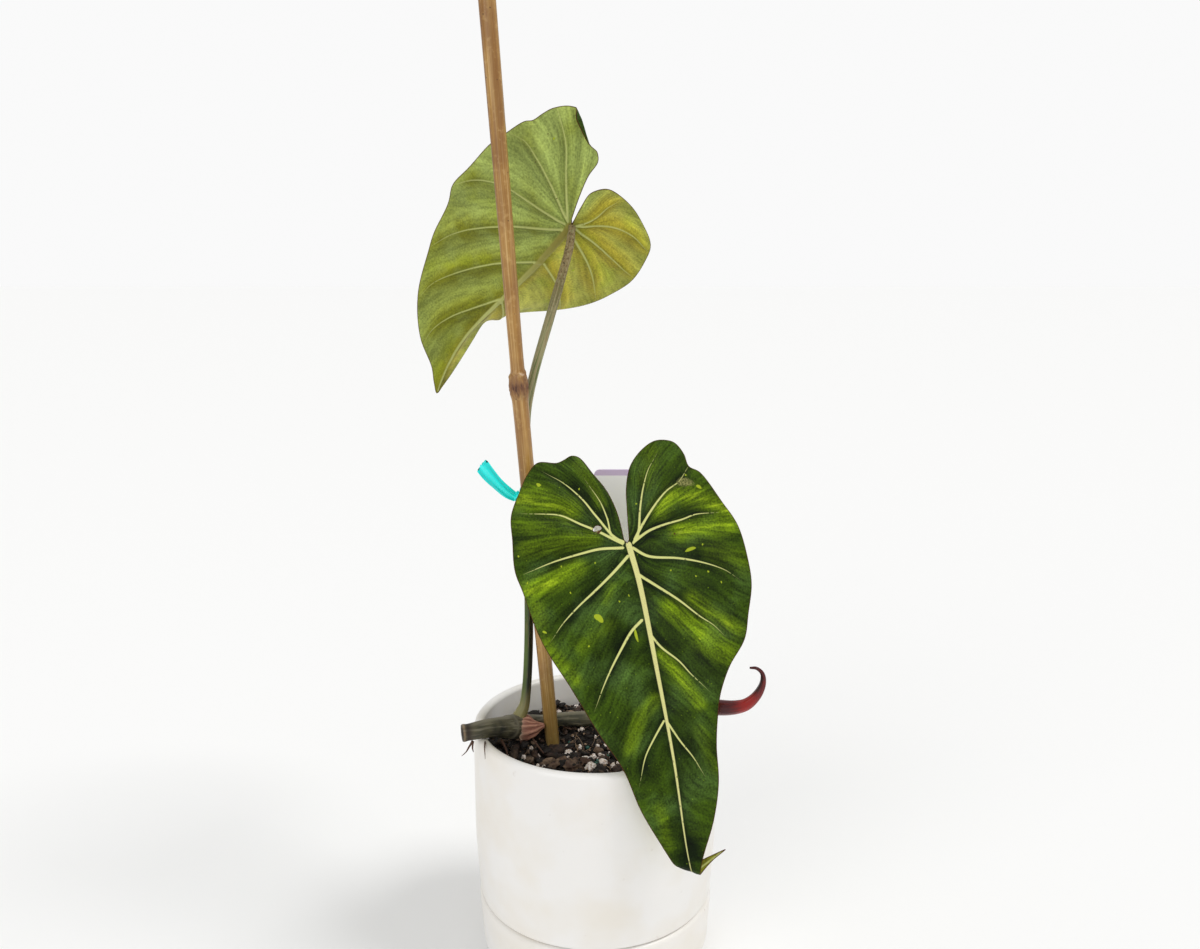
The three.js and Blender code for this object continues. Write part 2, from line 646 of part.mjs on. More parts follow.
// The object: each piece is set against what carries it, a small gap away
const rhizomeRoom = rhizomeSolid(GAP);
const frontBlade = blade(FRONT_OUTLINE, frontPlace);
const upperBlade = blade(UPPER_OUTLINE, upperPlace);
const upperStalk = [...PETIOLE_UPPER, ...stalkEnd(upperPlace, 2.1)];
const frontStalk = [...PETIOLE_FRONT, ...stalkEnd(frontPlace, 2.0)];
const upperPetiole = toSolid(stem(upperStalk, { sides: 9 })).subtract(rhizomeRoom);
const frontPetiole = toSolid(stem(frontStalk, { sides: 9 })).subtract(rhizomeRoom);
const petioleRoom = toSolid(stem(upperStalk, { sides: 9, extra: GAP }));
const sheath = toSolid(stem(SHEATH, { sides: 12 })).subtract(rhizomeRoom).subtract(petioleRoom);
const sheathRoom = toSolid(stem(SHEATH, { sides: 12, extra: GAP }));
const caneOptions = { sides: 14, stepsPerRow: 1 };

const pieces = {
  saucer: [saucerGeometry(), 0xf2f1ee, 0.45],
  pot: [potGeometry(), 0xf4f3f0, 0.5],
  soil: [soilGeometry([
    rhizomeRoom,
    sheathRoom,
    petioleRoom,
    toSolid(stem(frontStalk, { sides: 9, extra: GAP })),
    toSolid(stem(caneRows(), { ...caneOptions, extra: GAP })),
    toSolid(labelGeometry(GAP)),
  ]), 0x3a261c, 0.95],
  rhizome: [toGeometry(rhizomeSolid(0)), 0x454a44, 0.6],
  node_sheath: [toGeometry(sheath), 0x8d5a4a, 0.8],
  cataphyll: [toGeometry(toSolid(stem(CATAPHYLL)).subtract(rhizomeRoom)), 0x6b1c1a, 0.4],
  petiole_upper: [toGeometry(upperPetiole), 0x566330, 0.5],
  leaf_upper: [upperBlade, 0x7c9440, 0.6],
  petiole_front: [toGeometry(frontPetiole), 0x4d6a35, 0.5],
  leaf_front: [frontBlade, 0x2f5212, 0.5],
  cane: [stem(caneRows(), caneOptions), 0xb08a52, 0.5],
  tie: [tieGeometry(), 0x14b8a8, 0.35],
  label: [labelGeometry(), 0xf6f4f8, 0.4],
};

const plant = new THREE.Group();
for (const [name, [geometry, color, roughness]] of Object.entries(pieces)) {
  const material = new THREE.MeshStandardMaterial({ color, roughness, metalness: 0 });
  const mesh = new THREE.Mesh(geometry, material);
  mesh.name = name;
  plant.add(mesh);
}

export default plant;
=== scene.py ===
"""Potted variegated philodendron glorimax: the finish of each piece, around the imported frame.

Sizes inside the file are millimetres, in the frame's own axes: +Z up, -Y to the front.
"""

from dataclasses import dataclass
from functools import partial
from itertools import accumulate, chain
from math import cos, pi, radians, sin

import bmesh
import bpy
import numpy as np
from bpy.props import FloatProperty, FloatVectorProperty, IntProperty, PointerProperty
from bpy.types import NodeSocket, Operator, Panel, PropertyGroup, Scene
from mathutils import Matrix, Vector, noise
from mathutils.geometry import delaunay_2d_cdt


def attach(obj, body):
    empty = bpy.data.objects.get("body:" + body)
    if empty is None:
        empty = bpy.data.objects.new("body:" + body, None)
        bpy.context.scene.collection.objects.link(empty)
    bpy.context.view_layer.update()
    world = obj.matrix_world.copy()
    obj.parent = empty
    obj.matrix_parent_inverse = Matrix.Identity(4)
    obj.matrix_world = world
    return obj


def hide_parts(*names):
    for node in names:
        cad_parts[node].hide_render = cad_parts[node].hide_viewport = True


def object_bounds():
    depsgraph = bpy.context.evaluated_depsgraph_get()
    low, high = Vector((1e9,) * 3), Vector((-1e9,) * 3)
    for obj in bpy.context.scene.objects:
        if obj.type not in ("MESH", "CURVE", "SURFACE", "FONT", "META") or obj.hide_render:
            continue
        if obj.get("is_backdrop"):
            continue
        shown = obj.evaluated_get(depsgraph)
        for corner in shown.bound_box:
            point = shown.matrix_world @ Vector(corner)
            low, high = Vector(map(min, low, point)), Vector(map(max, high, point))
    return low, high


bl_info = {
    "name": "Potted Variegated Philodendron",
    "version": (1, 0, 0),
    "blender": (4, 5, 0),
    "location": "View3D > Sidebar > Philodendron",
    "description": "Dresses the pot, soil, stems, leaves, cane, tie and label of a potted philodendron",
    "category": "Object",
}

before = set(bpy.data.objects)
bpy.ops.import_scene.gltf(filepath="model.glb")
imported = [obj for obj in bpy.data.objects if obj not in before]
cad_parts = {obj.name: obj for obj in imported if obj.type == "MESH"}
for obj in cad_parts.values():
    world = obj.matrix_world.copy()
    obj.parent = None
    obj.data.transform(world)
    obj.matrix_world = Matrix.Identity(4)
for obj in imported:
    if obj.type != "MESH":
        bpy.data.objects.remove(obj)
CAD_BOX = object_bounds()
MM = 0.001


# Driving dimensions, as in the solids
GAP = 0.3
POT_R = 63.5
POT_TOP = 128.0
POT_WALL = 5.0
POT_SEAM_R = 61.4
POT_STRAIGHT_FROM = 78.0
POT_FOOT_R = 56.0
POT_FLOOR = 6.0
DRAIN_R = 6.0
SAUCER_H = 35.0
SAUCER_R = 62.0
SAUCER_BASE_R = 60.6
SAUCER_CORNER = 11.0
SAUCER_WALL = 5.0
SAUCER_FLOOR = 5.0
FOOT_Z = SAUCER_FLOOR + GAP
SEAM_Z = SAUCER_H + 2 * GAP
POT_IN_R = POT_R - POT_WALL
FLOOR_TOP = FOOT_Z + POT_FLOOR
SOIL_LEVEL = 111.0
BLADE_THICK = 0.75


# Colours and properties

def linear(hex_colour):
    """An sRGB hex value as linear red, green, blue and alpha."""
    shares = [int(hex_colour[i:i + 2], 16) / 255 for i in (1, 3, 5)]
    return (*(c / 12.92 if c <= 0.04045 else ((c + 0.055) / 1.055) ** 2.4 for c in shares), 1.0)


def tint(name, description, hex_colour):
    """A colour property whose default is an sRGB hex value."""
    return FloatVectorProperty(name=name, description=description, subtype="COLOR", size=4,
                               min=0.0, max=1.0, default=linear(hex_colour))


def amount(name, description, default, most=10.0):
    """A plain number property, such as a strength or a roughness."""
    return FloatProperty(name=name, description=description, min=0.0, max=most, default=default)


def length(name, description, millimetres):
    """A length property whose default is given in millimetres."""
    return FloatProperty(name=name, description=description, unit="LENGTH", min=0.0,
                         precision=5, default=millimetres * MM)


# Lines, noise and surfaces

def cubic(start, end, leave, meet, t):
    """Places from start to end, with the slopes that they leave and meet them by."""
    rise = end - start
    return (start + leave * t + (3 * rise - 2 * leave - meet) * t ** 2
            + (leave + meet - 2 * rise) * t ** 3)


def spline(points, per_span=10):
    """A smooth centripetal line through the points; columns past the third follow along."""
    points = np.asarray(points, float)
    knots = np.vstack([2 * points[0] - points[1], points, 2 * points[-1] - points[-2]])
    steps = np.linalg.norm(np.diff(knots[:, :3], axis=0), axis=1) ** 0.5
    t = np.linspace(0, 1, per_span, endpoint=False)[:, None]
    spans = []
    for i in range(1, len(knots) - 2):
        a, b, c, d = knots[i - 1:i + 3]
        before, here, after = steps[i - 1:i + 2]
        leave = ((b - a) / before - (c - a) / (before + here) + (c - b) / here) * here
        meet = ((c - b) / here - (d - b) / (here + after) + (d - c) / after) * here
        spans.append(cubic(b, c, leave, meet, t))
    return np.vstack([*spans, points[-1:]])


def run_along(line):
    """How far each point of a line lies along it."""
    return np.append(0, np.cumsum(np.linalg.norm(np.diff(line[:, :3], axis=0), axis=1)))


def even(line, spacing):
    """The same line with its points one spacing apart."""
    run = run_along(line)
    at = np.linspace(0, run[-1], max(int(round(run[-1] / spacing)), 1) + 1)
    return np.column_stack([np.interp(at, run, column) for column in line.T])


def smoothstep(x, low, high):
    t = np.clip((np.asarray(x, float) - low) / (high - low), 0, 1)
    return t * t * (3 - 2 * t)


def bell(x, width):
    """One at zero, falling off smoothly on both sides."""
    return np.exp(-(x / width) ** 2)


def bumps(points, cell, seed=0):
    """Smooth noise from about -1 to 1, with bumps one cell apart in millimetres."""
    places = np.asarray(points, float) / cell + 31.7 * seed
    return np.array([noise.noise(p) for p in places.reshape(-1, 3).tolist()]).reshape(places.shape[:-1])


def unit(vectors):
    return vectors / np.maximum(np.linalg.norm(vectors, axis=-1, keepdims=True), 1e-9)


def packed(*values):
    """Three sets of values as one set of vectors, each spread to the shape of the largest."""
    return np.stack(np.broadcast_arrays(*values), axis=-1)


def around(sides):
    """Angles round a stem, as one row."""
    return np.linspace(0, 2 * pi, sides, endpoint=False)[None, :]


@dataclass
class Stem:
    """The rings of a round stem, one row a ring: its middle line, two ways across, radius and
    run along it. The turn round it has one column a side."""
    middle: np.ndarray
    across: np.ndarray
    side: np.ndarray
    radius: np.ndarray
    run: np.ndarray
    turn: np.ndarray

    def skin(self, relief=0.0):
        """Points round the stem, with relief added to its radius."""
        turn = self.turn[..., None]
        outward = np.cos(turn) * self.across[:, None] + np.sin(turn) * self.side[:, None]
        return self.middle[:, None] + outward * (self.radius + relief + 0 * self.turn)[..., None]

    def straight(self):
        """The same places as if the stem were straight, for a grain that follows it."""
        return packed(self.radius * np.cos(self.turn), self.radius * np.sin(self.turn), self.run)


def stem(rows, spacing, sides):
    """Rings along rows of [x, y, z, radius], joined by a smooth line."""
    line = even(spline(rows), spacing)
    middle = line[:, :3]
    tangent = unit(np.gradient(middle, axis=0))
    way = np.cross([0, 0, 1], tangent[0])
    if np.linalg.norm(way) < 0.3:
        way = np.cross([1, 0, 0], tangent[0])
    across = []
    for along in tangent:
        way = unit(way - along * np.dot(way, along))
        across.append(way)
    return Stem(middle, np.array(across), np.cross(tangent, across), line[:, 3:],
                run_along(middle)[:, None], around(sides))


def ring_faces(rows, sides, closed=False):
    """Quads between rings of points, and from the last ring to the first where they close."""
    ring = np.arange(rows * sides).reshape(rows, sides)
    above = np.roll(ring, -1, axis=0)
    quads = np.stack([ring, np.roll(ring, -1, axis=1), np.roll(above, -1, axis=1), above], axis=-1)
    return quads[:rows if closed else -1].reshape(-1, 4).tolist()


def tube(points, caps=None, **values):
    """A closed tube as a part of a piece, from rows of rings and the values on them. Each end
    fans to one point, in its middle or where a cap is given."""
    rows, sides = points.shape[:2]
    caps = [points[0].mean(axis=0), points[-1].mean(axis=0)] if caps is None else caps
    faces = ring_faces(rows, sides)
    start, last = rows * sides, (rows - 1) * sides
    for k in range(sides):
        after = (k + 1) % sides
        faces += [[start, after, k], [start + 1, last + k, last + after]]
    for key, value in values.items():
        value = np.broadcast_to(value, (rows, sides, *np.shape(value)[2:]))
        flat = value.reshape(-1, *value.shape[2:])
        values[key] = np.concatenate([flat, value[:1].mean(axis=1), value[-1:].mean(axis=1)])
    return np.vstack([points.reshape(-1, 3), caps]), faces, values


def turned(x, y, angle):
    """Places turned about the origin."""
    return x * cos(angle) - y * sin(angle), x * sin(angle) + y * cos(angle)


def lathe(profile, sides):
    """A profile of [radius, height] pairs spun about the pot's axis; it closes on itself."""
    r, z = np.array(profile, float).T[..., None]
    return packed(r * np.cos(around(sides)), r * np.sin(around(sides)), z)


def arc(cx, cz, r, start, end, steps):
    """Profile points on a part of a circle, from one angle in degrees to another."""
    turn = np.radians(np.linspace(start, end, steps + 1))
    return np.column_stack([cx + r * np.cos(turn), cz + r * np.sin(turn)]).tolist()


# Pieces and materials

def new_object(name, data):
    """A new object in the scene, for a mesh, a lamp or a camera."""
    made = bpy.data.objects.new(name, data)
    bpy.context.scene.collection.objects.link(made)
    return made


def add_piece(name, parts, materials, nodes=(), looks=None):
    """A mesh object in metres that rides with the plant and stands for CAD nodes. Each part is
    [points, faces, values], with one row of values for every point or one for them all."""
    points = np.vstack([part[0] for part in parts])
    starts = accumulate((len(part[0]) for part in parts), initial=0)
    faces = [[start + i for i in face] for start, part in zip(starts, parts) for face in part[1]]
    mesh = bpy.data.meshes.new(name)
    mesh.from_pydata((points * MM).tolist(), [], faces)
    for material in materials:
        mesh.materials.append(material)
    if looks is not None:
        mesh.polygons.foreach_set("material_index", looks)
    mesh.polygons.foreach_set("use_smooth", [True] * len(mesh.polygons))
    for key in parts[0][2]:
        values = np.concatenate([
            np.broadcast_to(part[2][key], (len(part[0]), *np.shape(part[2][key])[1:]))
            for part in parts])
        kind, field = ("FLOAT_VECTOR", "vector") if values.ndim == 2 else ("FLOAT", "value")
        mesh.attributes.new(key, kind, "POINT").data.foreach_set(field, values.ravel())
    mesh.update()
    piece = new_object(name, mesh)
    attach(piece, "root")
    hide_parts(*nodes)
    return piece


def add_node(tree, kind, inputs=(), output=None, **settings):
    """Add a shader node. Its inputs, in order or by name, are values or outputs of other
    nodes. Returns one of its outputs."""
    node = tree.nodes.new("ShaderNode" + kind)
    for key, value in settings.items():
        setattr(node, key, value)
    sockets = [socket for socket in node.inputs if socket.enabled]
    names = [socket.name for socket in sockets]
    for key, value in inputs.items() if isinstance(inputs, dict) else enumerate(inputs):
        socket = sockets[key if isinstance(key, int) else names.index(key)]
        if isinstance(value, NodeSocket):
            tree.links.new(value, socket)
        else:
            socket.default_value = value
    return next((s for s in node.outputs if s.enabled and output in (None, s.name)), None)


def new_material(name):
    """An empty material; returns it with a short call that adds nodes to it."""
    material = bpy.data.materials.new(name)
    material.use_nodes = True
    material.node_tree.nodes.clear()
    return material, partial(add_node, material.node_tree)


def channels(add, name):
    """The three values of a vector attribute."""
    vector = add("Attribute", attribute_name=name, output="Vector")
    return [add("SeparateXYZ", [vector], output=axis) for axis in "XYZ"]


def stem_values(add):
    """The grain along a stem, then the three marks that its points hold."""
    return add("Attribute", attribute_name="grain", output="Vector"), *channels(add, "marks")


def in_millimetres(add):
    """Places on the piece in millimetres, so that a pattern's scale is one over its size."""
    return add("VectorMath", [add("TexCoord", output="Object"), 1 / MM], operation="SCALE")


def drawn_out(add, place, stretch, size, detail):
    """Noise with bumps of a size in millimetres, drawn out along a stem or lane."""
    place = add("VectorMath", [place, stretch], operation="MULTIPLY")
    return add("TexNoise", [place, 1 / size, detail])


def layered(add, colour, *layers):
    """A colour with others laid over it in turn, each by its share. A share is an output, or
    a list: an output, its low and high, and the shares that those stand for. A layer may end
    with an output that it keeps within."""
    for share, layer, *within in layers:
        share = add("MapRange", share) if isinstance(share, list) else share
        for limit in within:
            share = add("Math", [share, limit], operation="MULTIPLY")
        colour = add("Mix", [share, colour, layer], data_type="RGBA")
    return colour


def surfaced(material, add, colour, roughness, relief=None, **sockets):
    """Finish a material with its surface. Relief is [height, strength, depth in millimetres];
    the other sockets are named with an underscore for a space."""
    look = {name.replace("_", " "): value for name, value in sockets.items()}
    if relief:
        height, strength, depth = relief
        look["Normal"] = add("Bump", {"Height": height, "Strength": strength, "Distance": depth * MM})
    surface = add("BsdfPrincipled", {"Base Color": colour, "Roughness": roughness, **look})
    add("OutputMaterial", {"Surface": surface})
    return material


# Pot and saucer

class CeramicSettings(PropertyGroup):
    glaze: tint("Glaze", "Colour of the white glaze", "#ECEAE7")
    shade: tint("Glaze shade", "Faint warmer patches in the glaze", "#E8E3DA")
    speck: tint("Speck", "Iron specks and rubs in the glaze", "#B9AC9E")
    waviness: length("Waviness", "How far the thrown wall wanders from true", 0.14)


def glazed_stoneware(settings):
    """Stoneware, cast and dipped in a satin white glaze: soft wide highlights, faint cloudy
    patches and a few pin-head specks."""
    material, add = new_material("glazed_stoneware")
    place = in_millimetres(add)
    cloud = add("TexNoise", [place, 1 / 34, 3])
    # Specks a millimetre across, about two centimetres apart
    dots = add("TexVoronoi", [place, 1 / 19], output="Distance")
    dots = add("MapRange", [dots, 0.018, 0.034, 0.75, 0])
    rub = add("TexNoise", [place, 1 / 7, 5])
    rub = add("MapRange", [rub, 0.69, 0.76, 0, 0.22])
    mark = add("Math", [dots, rub], operation="MAXIMUM")
    colour = layered(add, settings.glaze, ([cloud, 0.42, 0.68], settings.shade),
                     (mark, settings.speck))
    gloss = add("TexNoise", [place, 1 / 22, 2])
    gloss = add("MapRange", [gloss, 0, 1, 0.3, 0.44])
    peel = add("TexNoise", [place, 1 / 1.6, 2])
    return surfaced(material, add, colour, gloss, (peel, 0.07, 0.3), IOR=1.5)


CERAMIC_SIDES = 160
AXIS_R = 0.02
FLAT_R = 30


def add_turned(name, profile, material, settings):
    """A turned wall whose profile starts and ends on the same point or on the axis."""
    wall = lathe(profile, CERAMIC_SIDES)
    wander = bumps(wall * [1, 1, 0.4], 38, seed=2) * settings.waviness / MM
    outward = unit(wall * [1, 1, 0])
    wall = wall + outward * wander[..., None] * smoothstep(wall[..., 2:], 4, 30)
    part = wall.reshape(-1, 3), ring_faces(*wall.shape[:2]), {}
    add_piece(name + "_glazed", [part], [material], [name])


def saucer_profile():
    lip = SAUCER_WALL / 2
    corner = SAUCER_CORNER
    return [
        [AXIS_R, 0], [FLAT_R, 0], [SAUCER_BASE_R - corner - 3, 0],
        *arc(SAUCER_BASE_R - corner, corner, corner, -88, 0, 16),
        *arc(SAUCER_R - lip, SAUCER_H - lip, lip, 4, 176, 16),
        *arc(SAUCER_R - SAUCER_WALL - 2, SAUCER_FLOOR + 2, 2, 0, -90, 6),
        [FLAT_R, SAUCER_FLOOR], [AXIS_R, SAUCER_FLOOR], [AXIS_R, 0],
    ]


def pot_profile():
    lip = POT_WALL / 2
    rise = np.linspace(0, 1, 14)
    outer = np.column_stack([POT_SEAM_R + (POT_R - POT_SEAM_R) * np.sin(rise * pi / 2),
                             SEAM_Z + (POT_STRAIGHT_FROM - SEAM_Z) * rise])
    foot_in = POT_FOOT_R - POT_WALL
    return [
        [DRAIN_R, FOOT_Z], [FLAT_R, FOOT_Z],
        *arc(POT_FOOT_R - 2, FOOT_Z + 2, 2, -90, 0, 8),
        [POT_FOOT_R, SEAM_Z - 1.5],
        *arc(POT_FOOT_R + 1.5, SEAM_Z - 1.5, 1.5, 180, 90, 5),
        [POT_SEAM_R - 1.4, SEAM_Z],
        *arc(POT_SEAM_R - 1.2, SEAM_Z + 1.2, 1.2, -90, -8, 6),
        *outer[1:].tolist(), [POT_R, 100],
        *arc(POT_R - lip, POT_TOP - lip, lip, 0, 180, 20),
        [POT_IN_R, 90], [POT_IN_R, SEAM_Z + POT_WALL], [foot_in, SEAM_Z - POT_WALL],
        [foot_in, FLOOR_TOP], [FLAT_R, FLOOR_TOP], [DRAIN_R, FLOOR_TOP], [DRAIN_R, FOOT_Z],
    ]


class PHILODENDRON_OT_ceramics(Operator):
    """Add the glazed pot and the saucer that it nests in"""
    bl_idname = "philodendron.ceramics"
    bl_label = "Pot and Saucer"

    def execute(self, context):
        settings = context.scene.philodendron.ceramic
        glaze = glazed_stoneware(settings)
        add_turned("saucer", saucer_profile(), glaze, settings)
        add_turned("pot", pot_profile(), glaze, settings)
        return {"FINISHED"}


# Stage

class StageSettings(PropertyGroup):
    floor: tint("Floor", "Colour of the plain studio floor", "#F8F8F7")
    sky: tint("Surround", "Colour of the light from all round", "#FCFCFC")
    sky_strength: amount("Surround strength", "Brightness of the light from all round", 0.63)
    backdrop: amount("Backdrop", "Brightness of the surround as the camera sees it", 0.98)
    key_strength: amount("Key light", "Strength of the main soft light", 1.2)
    fill_strength: amount("Fill light", "Strength of the light opposite", 0.75)


FLOOR_REACH = 60000
LENS_MM = 30
SENSOR_MM = 36
CAMERA_PLACE = (2.4, -491.1, 353.2)
CAMERA_TILT = radians(79.02)
KEY_FROM, KEY_SOFTNESS = (0.75, -0.15, 1.1), 24
FILL_FROM, FILL_SOFTNESS = (-0.6, -1.0, 0.6), 45


def painted_board(settings):
    """Board painted with flat emulsion and rolled: no gloss, and a trace of roller nap."""
    material, add = new_material("painted_board")
    nap = add("TexNoise", [in_millimetres(add), 1 / 2.5, 3])
    return surfaced(material, add, settings.floor, 0.8, (nap, 0.05, 0.4), Specular_IOR_Level=0.2)


def add_light(name, direction, softness, strength):
    """A distant soft light that shines from a direction, as wide as its softness in degrees."""
    lamp = bpy.data.lights.new(name, "SUN")
    lamp.angle = radians(softness)
    lamp.energy = strength
    light = new_object(name, lamp)
    light.rotation_euler = (-Vector(direction)).to_track_quat("-Z", "Y").to_euler()


def add_floor(material):
    reach = FLOOR_REACH * MM
    corners = [(x * reach, y * reach, 0) for x, y in ((-1, -1), (1, -1), (1, 1), (-1, 1))]
    mesh = bpy.data.meshes.new("floor")
    mesh.from_pydata(corners, [], [(0, 1, 2, 3)])
    mesh.materials.append(material)
    new_object("floor", mesh)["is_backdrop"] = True


def add_camera():
    lens = bpy.data.cameras.new("camera")
    lens.lens = LENS_MM
    lens.sensor_width = SENSOR_MM
    lens.sensor_fit = "HORIZONTAL"
    lens.clip_start = 0.01
    camera = new_object("camera", lens)
    camera.location = Vector(CAMERA_PLACE) * MM
    camera.rotation_euler = (CAMERA_TILT, 0, 0)
    bpy.context.scene.camera = camera


def add_surround(scene, settings):
    """An even pale surround, seen a little brighter than it lights, so no horizon shows."""
    scene.world = scene.world or bpy.data.worlds.new("studio")
    scene.world.use_nodes = True
    tree = scene.world.node_tree
    tree.nodes.clear()
    seen = add_node(tree, "LightPath", output="Is Camera Ray")
    strength = add_node(tree, "MapRange", {
        "Value": seen, "To Min": settings.sky_strength, "To Max": settings.backdrop})
    sky = add_node(tree, "Background", {"Color": settings.sky, "Strength": strength})
    add_node(tree, "OutputWorld", {"Surface": sky})


class PHILODENDRON_OT_stage(Operator):
    """Add the plain floor, the soft studio light and the camera"""
    bl_idname = "philodendron.stage"
    bl_label = "Stage"

    def execute(self, context):
        settings = context.scene.philodendron.stage
        add_floor(painted_board(settings))
        add_light("key", KEY_FROM, KEY_SOFTNESS, settings.key_strength)
        add_light("fill", FILL_FROM, FILL_SOFTNESS, settings.fill_strength)
        add_surround(context.scene, settings)
        # Plain sRGB, so that a colour on a surface is the colour that is seen
        context.scene.view_settings.view_transform = "Standard"
        add_camera()
        return {"FINISHED"}


# Bamboo cane

CANE_LENGTH = 500
CANE_FOOT_Z = 24
CANE_TOP_Z = CANE_FOOT_Z + CANE_LENGTH
CANE_AXIS = [(-22.5, 1.5, 110), (-37.6, 1.5, 301.6), (-49.5, 1.5, 479.7)]
CANE_PROFILE = [
    (CANE_FOOT_Z, 2.9), (CANE_FOOT_Z + 2, 3.5), (110, 3.65), (200, 3.8), (285, 3.95), (295, 4.1),
    (299, 4.8), (303, 4.9), (307, 4.5), (309, 3.5), (316, 3.4), (400, 3.8), (480, 4.15),
    (CANE_TOP_Z, 4.3),
]
CANE_NODE_Z = 301.6
CANE_NODE_HALF = 4.2
CANE_LEDGE_Z = 308
CANE_GROOVE_FROM, CANE_GROOVE_FULL, CANE_GROOVE_TO = 255, 292, 309
CANE_FINE_FROM, CANE_FINE_TO = 290, 320
CANE_STEP, CANE_FINE_STEP = 2.5, 0.5
CANE_WORN_ENDS = (0.72, 0.9, 0.97)
CANE_SIDES = 56


class CaneSettings(PropertyGroup):
    skin: tint("Skin", "Colour of the cane's dried skin", "#A67B3C")
    pale: tint("Pale fibre", "Paler fibres along the cane", "#D0AC70")
    dark: tint("Dark fibre", "Red-brown fibres and stains", "#6E4018")
    knot: tint("Node", "Fibrous brown of the node", "#6F4930")
    foot: tint("Foot", "Olive-tan of the damp foot", "#7D6F3F")
    speck: tint("Speck", "Dark specks and the fringe at the node", "#3B2417")
    roughness: amount("Roughness", "Roughness of the waxy skin", 0.3, most=1)


def dried_bamboo(settings):
    """Bamboo, air dried with its skin on: a waxy sheen over fine lengthwise fibres, red-brown
    stains, dark specks and a rough fibrous fringe at the node."""
    material, add = new_material("dried_bamboo")
    grain, node, _, _ = stem_values(add)
    height = add("SeparateXYZ", [grain], output="Z")
    # Fibres half a millimetre wide and some 45 mm long, in bands 4 mm wide
    fibre = drawn_out(add, grain, (1, 1, 0.012), 0.55, 4)
    band = drawn_out(add, grain, (1, 1, 0.03), 4, 2)
    ragged = drawn_out(add, grain, (1, 1, 0.25), 1.1, 5)
    stain = add("TexNoise", [grain, 1 / 26, 4])
    blotch = add("TexNoise", [grain, 1 / 2.4, 5])
    fringe = add("MapRange", [ragged, 0.58, 0.66, 0, 0.9])
    fringe = add("Math", [fringe, node], operation="MULTIPLY")
    dots = add("TexVoronoi", [grain, 1 / 4.5], output="Distance")
    dots = add("MapRange", [dots, 0.05, 0.1, 0.8, 0])
    mark = add("Math", [dots, fringe], operation="MAXIMUM")
    colour = layered(
        add, settings.skin, ([fibre, 0.45, 0.68, 0, 0.8], settings.pale),
        ([band, 0.44, 0.66, 0, 0.6], settings.dark), ([stain, 0.46, 0.66, 0, 0.5], settings.dark),
        ([blotch, 0.56, 0.7, 0, 0.3], settings.pale), ([height, 165, 112, 0, 0.6], settings.foot),
        ([ragged, 0.32, 0.5, 0.25, 1], settings.knot, node), (mark, settings.speck))
    gloss = add("Math", [node, 0.4, settings.roughness], operation="MULTIPLY_ADD")
    height = add("Mix", [node, fibre, ragged])
    return surfaced(material, add, colour, gloss, (height, 0.35, 0.3), IOR=1.5)


def cane_rings():
    """Rings of the cane: bent a little at its node, waisted above it."""
    heights = np.r_[CANE_FOOT_Z:CANE_FINE_FROM:CANE_STEP,
                    CANE_FINE_FROM:CANE_FINE_TO:CANE_FINE_STEP,
                    CANE_FINE_TO:CANE_TOP_Z:CANE_STEP, CANE_TOP_Z]
    fine = np.arange(CANE_FOOT_Z, CANE_TOP_Z + CANE_FINE_STEP, CANE_FINE_STEP)
    window = np.hanning(9) / np.hanning(9).sum()
    radius = np.interp(fine, *np.array(CANE_PROFILE).T)
    radius = np.convolve(np.pad(radius, 4, mode="edge"), window, mode="valid")
    x, y, z = np.array(CANE_AXIS).T
    lower, upper = np.diff(x) / np.diff(z)
    x = (np.interp(heights, z, x) + np.minimum(heights - z[0], 0) * lower
         + np.maximum(heights - z[2], 0) * upper)
    middle = np.column_stack([x, np.full_like(x, y[0]), heights])
    tangent = unit(np.gradient(middle, axis=0))
    across = unit(np.cross([0, 1, 0], tangent))
    return Stem(middle, across, np.cross(tangent, across),
                np.interp(heights, fine, radius)[:, None], heights[:, None], around(CANE_SIDES))


def add_cane(settings):
    rings = cane_rings()
    turn, z, straight = rings.turn, rings.run, rings.straight()
    knuckle = bell(z - CANE_NODE_Z, CANE_NODE_HALF)
    torn = 0.448 * bumps(straight * [1.2, 1.2, 0.9], 1.3, seed=4)
    ledge = 0.45 * bell(z - CANE_LEDGE_Z - 1.1 * np.sin(3 * turn + 1), 0.8)
    # A shallow bud groove runs up to the node on its right, as on any bamboo
    groove = 0.55 * bell(turn - 0.25, 0.4) * (z < CANE_GROOVE_TO) \
        * smoothstep(z, CANE_GROOVE_FROM, CANE_GROOVE_FULL)
    flutes = 0.02 * np.sin(9 * turn) + 0.08 * bumps(straight * [1, 1, 0.06], 2.2, seed=5)
    points = rings.skin(knuckle * torn + ledge - groove + flutes)
    worn = np.ones((len(z), 1, 1))
    worn[[0, 1, -1], 0, 0] = CANE_WORN_ENDS
    points = rings.middle[:, None] + (points - rings.middle[:, None]) * worn
    part = tube(points, grain=straight, marks=packed(knuckle, 0, 0))
    add_piece("cane_bamboo", [part], [dried_bamboo(settings)], ["cane"])


class PHILODENDRON_OT_cane(Operator):
    """Add the bamboo cane with its node"""
    bl_idname = "philodendron.cane"
    bl_label = "Cane"

    def execute(self, context):
        add_cane(context.scene.philodendron.cane)
        return {"FINISHED"}


# Leaf stalks

